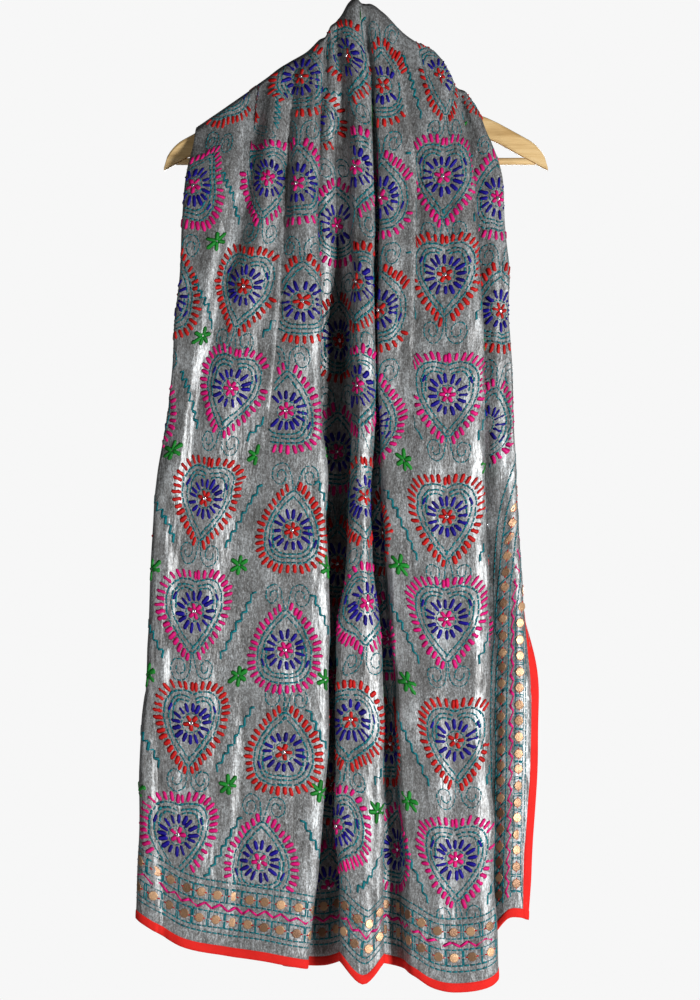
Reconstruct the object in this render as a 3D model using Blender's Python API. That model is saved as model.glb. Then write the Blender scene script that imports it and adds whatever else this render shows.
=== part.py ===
"""Phulkari shawl hanging over a wooden clothes hanger.

Metres, +Z up, +X to the right of someone facing the front (who stands at -Y).
The origin is the underside of the hook's bend, where a peg or rail bears.
"""

import math

import bmesh
import bpy
import numpy as np

MM = 0.001

# Cloth
CLOTH_WALL = 1.1
BINDING = 11.0              # red binding, seen from either side
BINDING_WALL = 1.4
SEAM_GAP = 0.4

HEM_LEVEL = 7.0

# Heights of the sections that every fold line passes between ridge and hem
SECTION_Z = (-187.0, -381.0, -569.0, -780.0)
SHOULDER_DROPS = (5.0, 24.0)    # two sections just below the ridge
TURN_SHARE = 0.45           # roundness of a turn, as a share of the folds' depth

# How far the foremost folds stand in front of the hanger, ridge to hem
FRONT_PLANE = (2.2, 10.6, 19.0, 40.0, 56.0, 60.0, 62.0, 60.0)

# Depth of each kind of fold line behind the foremost folds, ridge to hem
FOLD_DEPTH = {
    "crest": (0.0, 0.0, 0.0, 0.0, 0.0, 0.0, 0.0, 0.0),
    "lip": (0.0, 0.0, 3.0, 7.0, 8.0, 8.0, 8.0, 8.0),
    "hollow": (0.0, 0.0, 5.0, 14.0, 6.0, 3.0, 3.0, 4.0),
    "hollow_two": (0.0, 0.0, 3.0, 8.0, 4.0, 3.0, 3.0, 4.0),
    "edge": (2.4, 2.5, 4.0, 9.0, 10.0, 10.0, 10.0, 10.0),
    "tuck_mid": (4.8, 5.0, 9.0, 21.0, 22.0, 22.0, 22.0, 22.0),
    "tucked": (4.8, 5.0, 12.0, 25.0, 24.0, 24.0, 24.0, 24.0),
    "wall": (0.0, 0.0, 8.0, 17.0, 30.0, 36.0, 36.0, 30.0),
    "floor_one": (0.0, 0.0, 6.0, 13.0, 38.0, 50.0, 50.0, 42.0),
    "wall_two": (0.0, 0.0, 7.0, 14.0, 24.0, 30.0, 30.0, 28.0),
    "floor_two": (0.0, 0.0, 8.0, 18.0, 31.0, 38.0, 40.0, 36.0),
    "wall_three": (0.0, 0.0, 7.0, 16.0, 23.0, 24.0, 27.0, 26.0),
    "rear": (0.0, 0.0, 4.0, 14.0, 15.0, 15.0, 15.0, 15.0),
    "rear_edge": (2.4, 2.5, 8.0, 18.0, 20.0, 19.0, 18.0, 18.0),
    "rear_tuck": (5.2, 5.0, 12.5, 28.0, 42.0, 40.0, 28.0, 23.0),
}

# One row for each fold line of the front fall, left to right.
# name, kind, ridge x and z, x at the four sections, hem x and z
FRONT_FOLDS = (
    ("left_selvedge", "tucked", -131, -94, -112, -107, -107, -112, -112, -1065),
    ("left_tuck", "tuck_mid", -158, -108.5, -172, -178, -189, -195, -203, -1048),
    ("left_edge", "edge", -185, -120, -195, -208, -230, -241, -252, -1029),
    ("left_crest", "crest", -170, -110, -164, -186, -214, -228, -235, -1039),
    ("left_hollow", "hollow", -107, -66, -125, -164, -194, -210, -221, -1047),
    ("heart_one", "crest", -89, -52, -101, -136, -166, -185, -203, -1057),
    ("middle_hollow", "hollow", -74, -43, -83, -98, -122, -135, -150, -1070),
    ("drop_two", "crest", -57, -33, -68, -72, -80, -87, -105, -1076),
    ("left_lip", "lip", -39, -17, -43, -40, -33, -30, -55, -1086),
    ("left_wall", "wall", -35, -15, -55, -73, -82, -78, -82, -1086),
    ("drop_four", "floor_one", -29, -3, -21, -22, -21, -25, -34, -1088),
    ("narrow_wall", "wall", -23, 2, -8, -6, -6, -13, -16, -1081),
    ("narrow_left", "lip", -17, 9, -3, -3, -6, -23, -17, -1078),
    ("narrow_crest", "crest", -7, 26, 9, 10, 6, 1, 9, -1102),
    ("narrow_right", "lip", 3, 28, 23, 23, 15, 30, 31, -1080),
    ("second_wall", "wall_two", 5, 25, 21, 17, 13, 26, 30, -1083),
    ("second_floor", "floor_two", 10, 23, 25, 26, 25, 40, 48, -1088),
    ("right_lip", "lip", 17, 23, 27, 27, 35, 49, 67, -1094),
    ("right_hollow", "hollow_two", 30, 14, 60, 55, 62, 73, 84, -1105),
    ("heart_seven", "crest", 50, -6, 99, 100, 100, 105, 116, -1111),
    ("right_outer", "lip", 112, -66, 135, 145, 149, 152, 161, -1096),
    ("right_wall", "wall_three", 114, -70, 125, 135, 141, 146, 150, -1068),
    ("rear_crest", "rear", 128, -80, 157, 163, 168, 179, 174, -1030),
    ("right_edge", "rear_edge", 142, -102, 169, 178, 184, 194, 187, -1029),
    ("right_selvedge", "rear_tuck", 112, -90, 86, 98, 150, 209, 198, -1033),
)

# The back fall: how far its folds stand behind the hanger, ridge to hem,
# its two side edges at the ridge, the four sections and the hem, and its hem height
BACK_PLANE = (-0.9, 8.6, 19.0, 34.0, 44.0, 48.0, 50.0, 50.0)
BACK_LEFT_X = (-124.0, -126.0, -136.0, -182.0, -196.0, -214.0, -226.0, -234.0)
BACK_RIGHT_X = (110.0, 112.0, 122.0, 152.0, 164.0, 172.0, 178.0, 172.0)
BACK_HEM_Z = -1022.0
PARTING_HALF_WIDTH = 17.0   # the gathers part round the hook, for a peg to reach it
PARTING_DROP = 46.0
PARTING_SETBACK = 6.5

# One row for each gather of the back fall: share of the width, depth, lean to the right
BACK_GATHERS = (
    (1.25, 20.0, 0.10),
    (0.80, 34.0, -0.30),
    (1.10, 26.0, 0.25),
    (0.70, 38.0, 0.35),
    (0.95, 34.0, -0.30),
    (1.35, 24.0, 0.20),
    (0.75, 36.0, -0.35),
    (1.30, 22.0, -0.60),
)

# Hanger
ARM_TOP_Z = -58.4           # top of the arms at the middle
ARM_CROWN = 26.0            # half-length of the rounded middle
ARM_INNER_SLOPE = 0.36
ARM_OUTER_SLOPE = 0.55
ARM_BEND = (148.0, 168.0)   # where the slope changes
ARM_END_X = 222.5
ARM_HEIGHT = 24.0           # upright
ARM_THICKNESS = 9.0
ARM_TIP = 22.5              # length of the rounded tips
ARM_TIP_DROP = 20.5
BAR_DIAMETER = 8.4
BAR_Z = -159.0
HOOK_WIRE = 4.0
HOOK_INNER_RADIUS = 14.0

# Mesh
CROWDING = 0.8              # how far columns crowd towards the fold lines
FRONT_COLUMNS = 97
FRONT_ROWS = 21
BACK_COLUMNS = 69
BACK_ROWS = 17


def clear_scene():
    """Remove every object that the scene starts with."""
    for item in list(bpy.data.objects):
        bpy.data.objects.remove(item, do_unlink=True)


def material(name, colour, roughness, metallic=0.0):
    """Principled material of one plain colour."""
    made = bpy.data.materials.new(name)
    made.use_nodes = True
    shader = made.node_tree.nodes["Principled BSDF"]
    shader.inputs["Base Color"].default_value = (*colour, 1.0)
    shader.inputs["Roughness"].default_value = roughness
    shader.inputs["Metallic"].default_value = metallic
    return made


def add_object(name, points, faces, finish, smooth=True):
    """Closed mesh object from points in millimetres."""
    mesh = bpy.data.meshes.new(name)
    mesh.from_pydata((np.asarray(points) * MM).tolist(), [], faces)
    work = bmesh.new()
    work.from_mesh(mesh)
    bmesh.ops.recalc_face_normals(work, faces=work.faces)
    bmesh.ops.triangulate(work, faces=work.faces)
    work.to_mesh(mesh)
    work.free()
    if smooth:
        mesh.shade_smooth()
    mesh.materials.append(finish)
    made = bpy.data.objects.new(name, mesh)
    bpy.context.collection.objects.link(made)
    return made


def smooth_rows(knots, values, places):
    """Smooth curve through the values at the knots, with no overshoot.

    Each column of values is one curve; the slope at a knot is the harmonic
    mean of its two neighbours' slopes, or zero where they change sign.
    """
    knots = np.asarray(knots, float)
    values = np.asarray(values, float)
    step = np.diff(knots)
    slope = np.diff(values, axis=0) / step[:, None]
    before, after = slope[:-1], slope[1:]
    same_sign = before * after > 0
    total = np.where(same_sign, before + after, 1.0)
    inner = np.where(same_sign, 2 * before * after / total, 0.0)
    tangent = np.vstack((slope[:1], inner, slope[-1:]))
    places = np.asarray(places, float)
    cell = np.clip(np.searchsorted(knots, places, side="right") - 1, 0, len(step) - 1)
    width = step[cell][:, None]
    t = ((places - knots[cell])[:, None]) / width
    start, end = values[cell], values[cell + 1]
    return (
        (2 * t**3 - 3 * t**2 + 1) * start
        + (t**3 - 2 * t**2 + t) * width * tangent[cell]
        + (3 * t**2 - 2 * t**3) * end
        + (t**3 - t**2) * width * tangent[cell + 1]
    )


def round_row(nodes, places):
    """Rounded curve through one section's fold points, in x, y and z.

    At a fold point the curve takes the mean of its two neighbours'
    directions, weighted by their distances, or evenly where it doubles back.
    There its handles are short, so a turn is round and no deeper than the folds.
    """
    step = np.linalg.norm(np.diff(nodes[:, :2], axis=0), axis=1)
    slope = np.diff(nodes, axis=0) / step[:, None]
    bend = (1 - (slope[:-1, :2] * slope[1:, :2]).sum(axis=1)) / 2
    weight = step[1:] / (step[:-1] + step[1:])
    weight = (weight * (1 - bend) + 0.5 * bend)[:, None]
    inner = slope[:-1] * weight + slope[1:] * (1 - weight)
    tangent = np.vstack((slope[:1], inner, slope[-1:]))
    straight = np.linalg.norm(tangent[:, :2], axis=1)
    tangent[:, :2] /= straight[:, None]
    cell = np.clip(np.floor(places).astype(int), 0, len(step) - 1)
    t = (places - cell)[:, None]
    width = step[cell]
    turn = np.minimum(0.8 * width, 3.0 + TURN_SHARE * np.abs(nodes[:, 1]).max())
    leave = (width * straight[cell] + turn * (1 - straight[cell]))[:, None]
    arrive = (width * straight[cell + 1] + turn * (1 - straight[cell + 1]))[:, None]
    return (
        (2 * t**3 - 3 * t**2 + 1) * nodes[cell]
        + (t**3 - 2 * t**2 + t) * leave * tangent[cell]
        + (3 * t**2 - 2 * t**3) * nodes[cell + 1]
        + (t**3 - t**2) * arrive * tangent[cell + 1]
    )


def front_levels(levels):
    """Fold points of the front fall at each level: array of level, fold, (x, y, z).

    Level 0 is the ridge, 1 and 2 are just below it, 3 to 6 are the four
    sections and 7 is the hem; fold lines run smoothly between them.
    """
    columns = []
    for _name, kind, ridge_x, ridge_z, *rest in FRONT_FOLDS:
        section_x, hem_x, hem_z = rest[:4], rest[4], rest[5]
        fall = ridge_z - SECTION_Z[0]
        lean = (section_x[0] - ridge_x) / fall
        x = [ridge_x, *(ridge_x + lean * drop for drop in SHOULDER_DROPS), *section_x, hem_x]
        z = [ridge_z, *(ridge_z - drop for drop in SHOULDER_DROPS), *SECTION_Z, hem_z]
        y = [depth - plane for depth, plane in zip(FOLD_DEPTH[kind], FRONT_PLANE)]
        columns.append(np.column_stack((x, y, z)))
    table = np.stack(columns, axis=1)
    knots = np.arange(table.shape[0])
    flat = table.reshape(len(knots), -1)
    return smooth_rows(knots, flat, levels).reshape(len(levels), -1, 3)


def back_levels(levels):
    """Fold points of the back fall, at the same levels as the front's.

    Each gather is a crest point and a hollow point; its depth is reached
    by the second section, and the ridge dips where the gathers part.
    """
    share = np.array([row[0] for row in BACK_GATHERS])
    start = np.concatenate(([0.0], np.cumsum(share)[:-1])) / share.sum()
    width = share / share.sum()
    growth = np.array((0.0, 0.0, 0.14, 0.45, 0.85, 1.0, 1.0, 1.0))
    left, right = np.array(BACK_LEFT_X), np.array(BACK_RIGHT_X)
    outer = ("crest", "lip", "edge", "rear", "rear_edge")
    ridge_line = np.array([(row[2], row[3]) for row in FRONT_FOLDS if row[1] in outer], float)
    order = np.argsort(ridge_line[:, 0])
    columns = []
    places = [(0.0, 0.0, 0.0)]
    for (_share, depth, lean), at, size in zip(BACK_GATHERS, start, width):
        places.append((at + size * (0.30 + 0.3 * lean), 0.0, lean))
        places.append((at + size * (0.78 + 0.3 * lean), depth, lean))
    places.append((1.0, 6.0, 0.0))
    for across, depth, _lean in places:
        x = left + (right - left) * across
        top = np.interp(x[0], ridge_line[order, 0], ridge_line[order, 1]) - 0.3
        near = max(0.0, 1.0 - (x[0] / (2.2 * PARTING_HALF_WIDTH)) ** 2)
        top -= PARTING_DROP * near
        z = [top, *(top - drop for drop in SHOULDER_DROPS), *SECTION_Z, BACK_HEM_Z]
        y = np.array(BACK_PLANE) - depth * growth
        y[:2] += PARTING_SETBACK * near
        columns.append(np.column_stack((x, y, z)))
    table = np.stack(columns, axis=1)
    knots = np.arange(table.shape[0])
    flat = table.reshape(len(knots), -1)
    return smooth_rows(knots, flat, levels).reshape(len(levels), -1, 3)


class Drape:
    """Draped sheet: a dense grid of level by fold place, read at any place."""

    def __init__(self, level_points, rows=211, per_fold=24):
        self.level = np.linspace(0.0, HEM_LEVEL, rows)
        nodes = level_points(self.level)
        folds = nodes.shape[1]
        self.fold = np.linspace(0.0, folds - 1.0, (folds - 1) * per_fold + 1)
        points = np.stack([round_row(row, self.fold) for row in nodes])
        normal = np.cross(np.gradient(points, axis=1), np.gradient(points, axis=0))
        normal /= np.linalg.norm(normal, axis=2, keepdims=True)
        self.grid = np.concatenate((points, normal), axis=2)

    def at(self, level, fold):
        """Points and normals at arrays of level and fold place."""
        row = np.clip(level / HEM_LEVEL * (len(self.level) - 1), 0, len(self.level) - 1.001)
        column = fold / self.fold[-1] * (len(self.fold) - 1)
        column = np.clip(column, 0, len(self.fold) - 1.001)
        i, j = row.astype(int), column.astype(int)
        a, b = (row - i)[..., None], (column - j)[..., None]
        grid = self.grid
        upper = grid[i, j] * (1 - b) + grid[i, j + 1] * b
        lower = grid[i + 1, j] * (1 - b) + grid[i + 1, j + 1] * b
        return upper * (1 - a) + lower * a

    def fold_from_edge(self, level, distance, from_right=False):
        """Fold place that lies a distance along the cloth from a selvedge."""
        points = self.at(np.full(len(self.fold), level), self.fold)[:, :3]
        length = np.concatenate(
            ([0.0], np.cumsum(np.linalg.norm(np.diff(points, axis=0), axis=1)))
        )
        wanted = length[-1] - distance if from_right else distance
        return np.interp(wanted, length, self.fold)

    def level_above_hem(self, fold, distance):
        """Level that lies a distance up the cloth from the hem."""
        points = self.at(self.level, np.full(len(self.level), fold))[:, :3]
        length = np.concatenate(
            ([0.0], np.cumsum(np.linalg.norm(np.diff(points, axis=0), axis=1)))
        )
        return np.interp(length[-1] - distance, length, self.level)


def fold_span(drape, spans, left_level, right_level):
    """Fold places across a panel, between its margins at the given levels.

    spans is (first, last, count) of distances from the selvedges, where a
    negative distance counts from the right one. Across the whole cloth the
    columns crowd towards the fold lines, where the cloth bends most.
    """
    first, last, count = spans
    start = drape.fold_from_edge(left_level, abs(first), first < 0)
    end = drape.fold_from_edge(right_level, abs(last), last < 0)
    if (first < 0) == (last < 0):
        return start + (end - start) * np.linspace(0.0, 1.0, count)
    folds = drape.fold[-1]
    place = np.linspace(0.0, folds, count)
    whole = np.floor(place)
    share = place - whole
    crowded = (1.0 - np.cos(math.pi * share)) / 2.0
    place = whole + share * (1.0 - CROWDING) + crowded * CROWDING
    knots = np.arange(folds + 1.0)
    ends = knots.copy()
    ends[0], ends[-1] = start, end
    return np.interp(place, knots, ends)


def panel_grid(drape, levels, spans, above_hem):
    """Grid of points of a panel, level by level, then at distances above the hem."""
    hem_fold = fold_span(drape, spans, HEM_LEVEL, HEM_LEVEL)
    lowest = [
        np.array([drape.level_above_hem(place, distance) for place in hem_fold])
        for distance in above_hem
    ]
    level = np.vstack([np.outer(levels, lowest[0] / HEM_LEVEL), *lowest[1:]])
    fold = np.array([fold_span(drape, spans, row[0], row[-1]) for row in level])
    return drape.at(level, fold)


def wall_from_grid(name, grid, wall, finish):
    """Closed wall on both sides of a grid of points, with a rim all round."""
    middle, normal = grid[..., :3], grid[..., 3:]
    normal = normal / np.linalg.norm(normal, axis=2, keepdims=True)
    rows, columns = grid.shape[:2]
    outer = (middle + normal * wall / 2).reshape(-1, 3)
    inner = (middle - normal * wall / 2).reshape(-1, 3)
    points = np.vstack((outer, inner))
    index = np.arange(rows * columns).reshape(rows, columns)
    a, b = index[:-1, :-1].ravel(), index[:-1, 1:].ravel()
    c, d = index[1:, 1:].ravel(), index[1:, :-1].ravel()
    back = rows * columns
    faces = np.column_stack((a, b, c, d)).tolist()
    faces += np.column_stack((a + back, d + back, c + back, b + back)).tolist()
    rim = np.concatenate(
        (index[0, :-1], index[:-1, -1], index[-1, :0:-1], index[:0:-1, 0])
    )
    following = np.roll(rim, -1)
    faces += np.column_stack((rim, rim + back, following + back, following)).tolist()
    return add_object(name, points, faces, finish)


def make_fall(side, drape, columns, rows, cloth, red):
    """One fall of the cloth with its hem binding and two edge bindings."""
    seam = BINDING + SEAM_GAP
    upper = np.linspace(0.0, 3.0, rows // 3 + 1)
    lower = np.linspace(3.0, HEM_LEVEL, rows - rows // 3)
    levels = np.concatenate((upper, lower[1:]))
    hem_rows = (BINDING, BINDING / 2, 0.0)
    across = (seam, -seam, columns)
    pieces = (
        (f"cloth_{side}_fall", levels, across, (seam,), CLOTH_WALL, cloth),
        (f"binding_{side}_left", levels, (0.0, BINDING, 3), (seam, 0.0), BINDING_WALL, red),
        (f"binding_{side}_right", levels, (-BINDING, -0.0001, 3), (seam, 0.0), BINDING_WALL, red),
        (f"binding_{side}_hem", levels[:0], across, (seam, *hem_rows), BINDING_WALL, red),
    )
    for name, rows_down, spans, above_hem, wall, finish in pieces:
        grid = panel_grid(drape, rows_down, spans, above_hem)
        wall_from_grid(name, grid, wall, finish)


def arm_line(x):
    """Height of the arms' upper line at x: round at the middle, steeper outside."""
    reach = abs(x)
    if reach < ARM_CROWN:
        return ARM_TOP_Z - ARM_INNER_SLOPE * reach**2 / (2 * ARM_CROWN)
    start, end = ARM_BEND
    steeper = (ARM_OUTER_SLOPE - ARM_INNER_SLOPE) / (end - start)
    turned = min(max(reach - start, 0.0), end - start)
    beyond = max(reach - end, 0.0)
    drop = ARM_INNER_SLOPE * (reach - ARM_CROWN / 2) + steeper * turned**2 / 2
    return ARM_TOP_Z - drop - (ARM_OUTER_SLOPE - ARM_INNER_SLOPE) * beyond


def make_arms(wood):
    """The two arms as one bent length of wood, its tips rounded from above."""
    side = np.concatenate((np.linspace(0.0, 190.0, 16), np.linspace(ARM_END_X - ARM_TIP, ARM_END_X, 7)))
    stations = np.concatenate((-side[:0:-1], side))
    half_y = ARM_THICKNESS / 2
    profile = []
    for cx, cz, begin in ((1, 1, 0), (-1, 1, 90), (-1, -1, 180), (1, -1, 270)):
        for turn in (0, 45, 90):
            angle = math.radians(begin + turn)
            profile.append((cx, cz, math.cos(angle), math.sin(angle)))
    points = []
    for x in stations:
        bottom = arm_line(x) - ARM_HEIGHT
        along_tip = max(0.0, abs(x) - ARM_END_X + ARM_TIP) / ARM_TIP
        top = arm_line(x) - ARM_TIP_DROP * (1.0 - math.sqrt(max(0.0, 1.0 - along_tip**2)))
        middle, half_z = (top + bottom) / 2, (top - bottom) / 2
        corner = min(3.5, 0.8 * half_z)
        for cx, cz, ex, ez in profile:
            y = cx * (half_y - corner) + ex * corner
            z = cz * (half_z - corner) + ez * corner
            points.append((x, y, middle + z))
    size = len(profile)
    faces = []
    for ring in range(len(stations) - 1):
        for k in range(size):
            a = ring * size + k
            b = ring * size + (k + 1) % size
            faces.append((a, b, b + size, a + size))
    faces.append(tuple(range(size)))
    faces.append(tuple(range((len(stations) - 1) * size, len(stations) * size)))
    return add_object("hanger_arms", points, faces, wood)


def make_bar(wood):
    """Round bar seated under the arms, its ends cut to the arms' slope."""
    sides = 14
    radius = BAR_DIAMETER / 2
    points = []
    for side in (-1, 1):
        for k in range(sides):
            angle = 2 * math.pi * k / sides
            y, z = radius * math.cos(angle), BAR_Z + radius * math.sin(angle)
            reach = ARM_END_X + (arm_line(ARM_END_X) - ARM_HEIGHT - z - 1.2 * SEAM_GAP) / ARM_OUTER_SLOPE
            points.append((side * reach, y, z))
    faces = [(k, (k + 1) % sides, (k + 1) % sides + sides, k + sides) for k in range(sides)]
    faces.append(tuple(range(sides)))
    faces.append(tuple(range(sides, 2 * sides)))
    return add_object("hanger_bar", points, faces, wood)


def make_hook(metal):
    """Wire hook: open on the left, over the top, back to a stem in the wood."""
    radius = HOOK_INNER_RADIUS + HOOK_WIRE / 2
    centre_z = -HOOK_INNER_RADIUS
    path = [(radius * math.cos(a), centre_z + radius * math.sin(a))
            for a in np.radians(np.linspace(200, -38, 20))]
    stem_top = centre_z - radius - 3.0
    path += [(radius * 0.30, stem_top + 2.2), (0.6, stem_top - 1.4), (0.0, ARM_TOP_Z + SEAM_GAP)]
    path = np.array(path)
    tangent = np.gradient(path, axis=0)
    tangent[-1] = (0.0, -1.0)
    tangent /= np.linalg.norm(tangent, axis=1, keepdims=True)
    sides = 10
    points = []
    for (x, z), (tx, tz) in zip(path, tangent):
        for k in range(sides):
            angle = 2 * math.pi * k / sides
            out, y = math.cos(angle) * HOOK_WIRE / 2, math.sin(angle) * HOOK_WIRE / 2
            points.append((x + out * tz, y, z - out * tx))
    faces = []
    for ring in range(len(path) - 1):
        for k in range(sides):
            a = ring * sides + k
            b = ring * sides + (k + 1) % sides
            faces.append((a, b, b + sides, a + sides))
    faces.append(tuple(range(sides)))
    faces.append(tuple(range((len(path) - 1) * sides, len(path) * sides)))
    return add_object("hanger_hook", points, faces, metal)


def main():
    """Build the shawl's two falls, their bindings and the hanger."""
    clear_scene()
    cloth = material("grey_tissue_silk", (0.42, 0.40, 0.38), 0.45)
    red = material("red_binding", (0.62, 0.012, 0.010), 0.6)
    wood = material("pale_wood", (0.68, 0.48, 0.20), 0.5)
    metal = material("hook_metal", (0.75, 0.75, 0.76), 0.25, 1.0)
    make_fall("front", Drape(front_levels), FRONT_COLUMNS, FRONT_ROWS, cloth, red)
    make_fall("back", Drape(back_levels), BACK_COLUMNS, BACK_ROWS, cloth, red)
    make_arms(wood)
    make_bar(wood)
    make_hook(metal)


main()
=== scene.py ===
import math

import bpy
import numpy as np
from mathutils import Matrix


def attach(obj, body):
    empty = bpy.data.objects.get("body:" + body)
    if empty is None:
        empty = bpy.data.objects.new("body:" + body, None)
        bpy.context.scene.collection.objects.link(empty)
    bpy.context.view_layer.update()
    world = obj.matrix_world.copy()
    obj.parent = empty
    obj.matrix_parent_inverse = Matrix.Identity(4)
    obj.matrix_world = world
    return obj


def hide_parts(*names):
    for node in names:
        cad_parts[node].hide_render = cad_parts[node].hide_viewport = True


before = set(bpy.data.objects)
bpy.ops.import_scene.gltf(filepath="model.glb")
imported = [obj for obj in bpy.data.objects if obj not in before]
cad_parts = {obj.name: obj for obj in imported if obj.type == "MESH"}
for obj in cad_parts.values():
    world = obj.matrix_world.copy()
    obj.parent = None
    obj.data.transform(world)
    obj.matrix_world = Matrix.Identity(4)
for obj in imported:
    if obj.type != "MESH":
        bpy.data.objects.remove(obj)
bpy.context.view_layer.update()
mm = 0.001
print("stage: frame loaded")


# small tools

def smoothStep(t):
    t = np.clip(t, 0.0, 1.0)
    return t * t * (3 - 2 * t)


def unit(vectors, least=0.0):
    # directions of length 1 along the last axis; least keeps an empty step from a division by nothing
    return vectors / np.maximum(np.linalg.norm(vectors, axis=-1, keepdims=True), least)


def lengthsAlong(points, axis):
    # running length of polylines that go along an axis of an array of points
    step = np.linalg.norm(np.diff(points, axis=axis), axis=-1)
    start = np.zeros_like(np.take(step, [0], axis=axis))
    return np.concatenate((start, np.cumsum(step, axis=axis)), axis=axis)


def alongPath(path, lengths, where):
    # points of a flat path at distances along it
    return np.column_stack([np.interp(where, lengths, path[:, k]) for k in (0, 1)])


def between(table, first, second):
    # values of a table between its whole places on the first and the second axis
    first = np.clip(first, 0, table.shape[0] - 1.001)
    second = np.clip(second, 0, table.shape[1] - 1.001)
    i, j = first.astype(int), second.astype(int)
    a, b = (first - i)[..., None], (second - j)[..., None]
    upper = table[i, j] * (1 - b) + table[i, j + 1] * b
    lower = table[i + 1, j] * (1 - b) + table[i + 1, j + 1] * b
    return upper * (1 - a) + lower * a


def repeated(faces, count, each):
    # the faces of one small form, numbered on for as many copies as there are
    faces = np.asarray(faces)
    return (faces[None] + (np.arange(count) * each)[:, None, None]).reshape(-1, faces.shape[1])


def addMesh(name, finish, points, quads, tris=None, uv=None, tone=None, slot=None):
    # points in mm; quads and tris are arrays of point numbers; uv and tone are one value a point
    mesh = bpy.data.meshes.new(name)
    tris = np.zeros((0, 3), int) if tris is None else tris
    corners = np.concatenate((quads.ravel(), tris.ravel())).astype(np.int32)
    sizes = np.concatenate((np.full(len(quads), 4), np.full(len(tris), 3)))
    starts = np.concatenate(([0], np.cumsum(sizes)[:-1])).astype(np.int32)
    mesh.vertices.add(len(points))
    mesh.vertices.foreach_set("co", (points * mm).astype(np.float32).ravel())
    mesh.loops.add(len(corners))
    mesh.loops.foreach_set("vertex_index", corners)
    mesh.polygons.add(len(sizes))
    mesh.polygons.foreach_set("loop_start", starts)
    if uv is not None:
        layer = mesh.uv_layers.new(name="flat")
        layer.data.foreach_set("uv", uv[corners].astype(np.float32).ravel())
    if tone is not None:
        layer = mesh.attributes.new("tone", "FLOAT", "POINT")
        layer.data.foreach_set("value", tone.astype(np.float32))
    mesh.update(calc_edges=True)
    mesh.validate()
    mesh.shade_smooth()
    mesh.materials.append(finish)
    piece = bpy.data.objects.new(name, mesh)
    bpy.context.collection.objects.link(piece)
    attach(piece, "root")
    return piece


# shader maths

class Wire:
    # a socket that can stand in a sum
    def __init__(self, tree, socket):
        self.tree, self.socket = tree, socket

    def maths(self, operation, other):
        node = self.tree.nodes.new("ShaderNodeMath")
        node.operation = operation
        self.tree.links.new(self.socket, node.inputs[0])
        if isinstance(other, Wire):
            self.tree.links.new(other.socket, node.inputs[1])
        else:
            node.inputs[1].default_value = other
        return Wire(self.tree, node.outputs[0])

    def __add__(self, other):
        return self.maths("ADD", other)

    def __radd__(self, other):
        return self + other

    def __sub__(self, other):
        return self.maths("SUBTRACT", other)

    def __mul__(self, other):
        return self.maths("MULTIPLY", other)


class Finish:
    # a material under construction: node() adds any node, and the rest call it
    def __init__(self, name, **fixed):
        self.material = bpy.data.materials.new(name)
        self.material.use_nodes = True
        self.tree = self.material.node_tree
        self.shader = self.tree.nodes["Principled BSDF"]
        self.set(self.shader, fixed)

    def set(self, node, inputs):
        for key, value in inputs.items():
            socket = node.inputs[key]
            if isinstance(value, Wire):
                self.tree.links.new(value.socket, socket)
            elif socket.type == "RGBA" and len(value) == 3:
                socket.default_value = (*value, 1.0)
            else:
                socket.default_value = value

    def node(self, kind, settings, inputs, out=0):
        node = self.tree.nodes.new("ShaderNode" + kind)
        for key, value in settings.items():
            if key == "stops":
                ramp = node.color_ramp
                while len(ramp.elements) < len(value):
                    ramp.elements.new(0.5)
                for element, (place, colour) in zip(ramp.elements, value):
                    element.position, element.color = place, (*colour, 1.0)
            else:
                setattr(node, key, value)
        self.set(node, inputs)
        return Wire(self.tree, node.outputs[out])

    def objectPlace(self):
        return self.node("TexCoord", {}, {}, 3)

    def tone(self):
        # the shade of each stitch or disc, from 0 to 1
        return self.node("Attribute", {"attribute_name": "tone"}, {}, 2)

    def stretched(self, where, scale, shift=(0.0, 0.0, 0.0)):
        return self.node("Mapping", {}, {"Vector": where, "Scale": scale, "Location": shift})

    def flat(self, across, along, shift=0.0):
        # the cloth's own flat place, stretched: metres times across and along
        uv = self.node("UVMap", {"uv_map": "flat"}, {})
        return self.stretched(uv, (across, along, 1.0), (shift, shift, 0.0))

    def noise(self, where, detail=2.0, rough=0.5, scale=1.0):
        inputs = {"Vector": where, "Scale": scale, "Detail": detail, "Roughness": rough}
        return self.node("TexNoise", {}, inputs)

    def ramp(self, value, *stops):
        return self.node("ValToRGB", {"stops": stops}, {"Fac": value})

    def mix(self, factor, first, second):
        # a colour mix node keeps its factor and two colours at these places
        return self.node("Mix", {"data_type": "RGBA"}, {0: factor, 6: first, 7: second}, 2)

    def bump(self, height, distance, strength=1.0, under=None):
        inputs = {"Height": height, "Distance": distance, "Strength": strength}
        if under is not None:
            inputs["Normal"] = under
        return self.node("Bump", {}, inputs)

    def done(self, colour, **inputs):
        self.set(self.shader, {"Base Color": colour, **inputs})
        return self.material


# the shade and light colours are painted shade and a painted highlight; middle is the cloth's own grey
clothLook = {
    "shade": (0.088, 0.086, 0.083), "middle": (0.200, 0.203, 0.204), "light": (0.450, 0.478, 0.490),
    "grainDepth": 0.00025, "crinkleDepth": 0.0008, "creaseDepth": 0.0035,
    "metallic": 0.34, "roughness": 0.45, "roughnessRange": 0.5,
}
# noise on the cloth: turns in a metre across and along, shift, detail; the wide noise paints patches of sheen
# and the glint noise paints glints into the colour
clothStreaks = {
    "crinkle": (230.0, 48.0, 0.0, 3.0), "wide": (34.0, 22.0, 3.1, 2.0), "crease": (44.0, 17.0, 5.5, 2.0),
    "grain": (760.0, 480.0, 7.7, 1.0), "paintedGlint": (520.0, 240.0, 1.3, 2.0),
}


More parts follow.
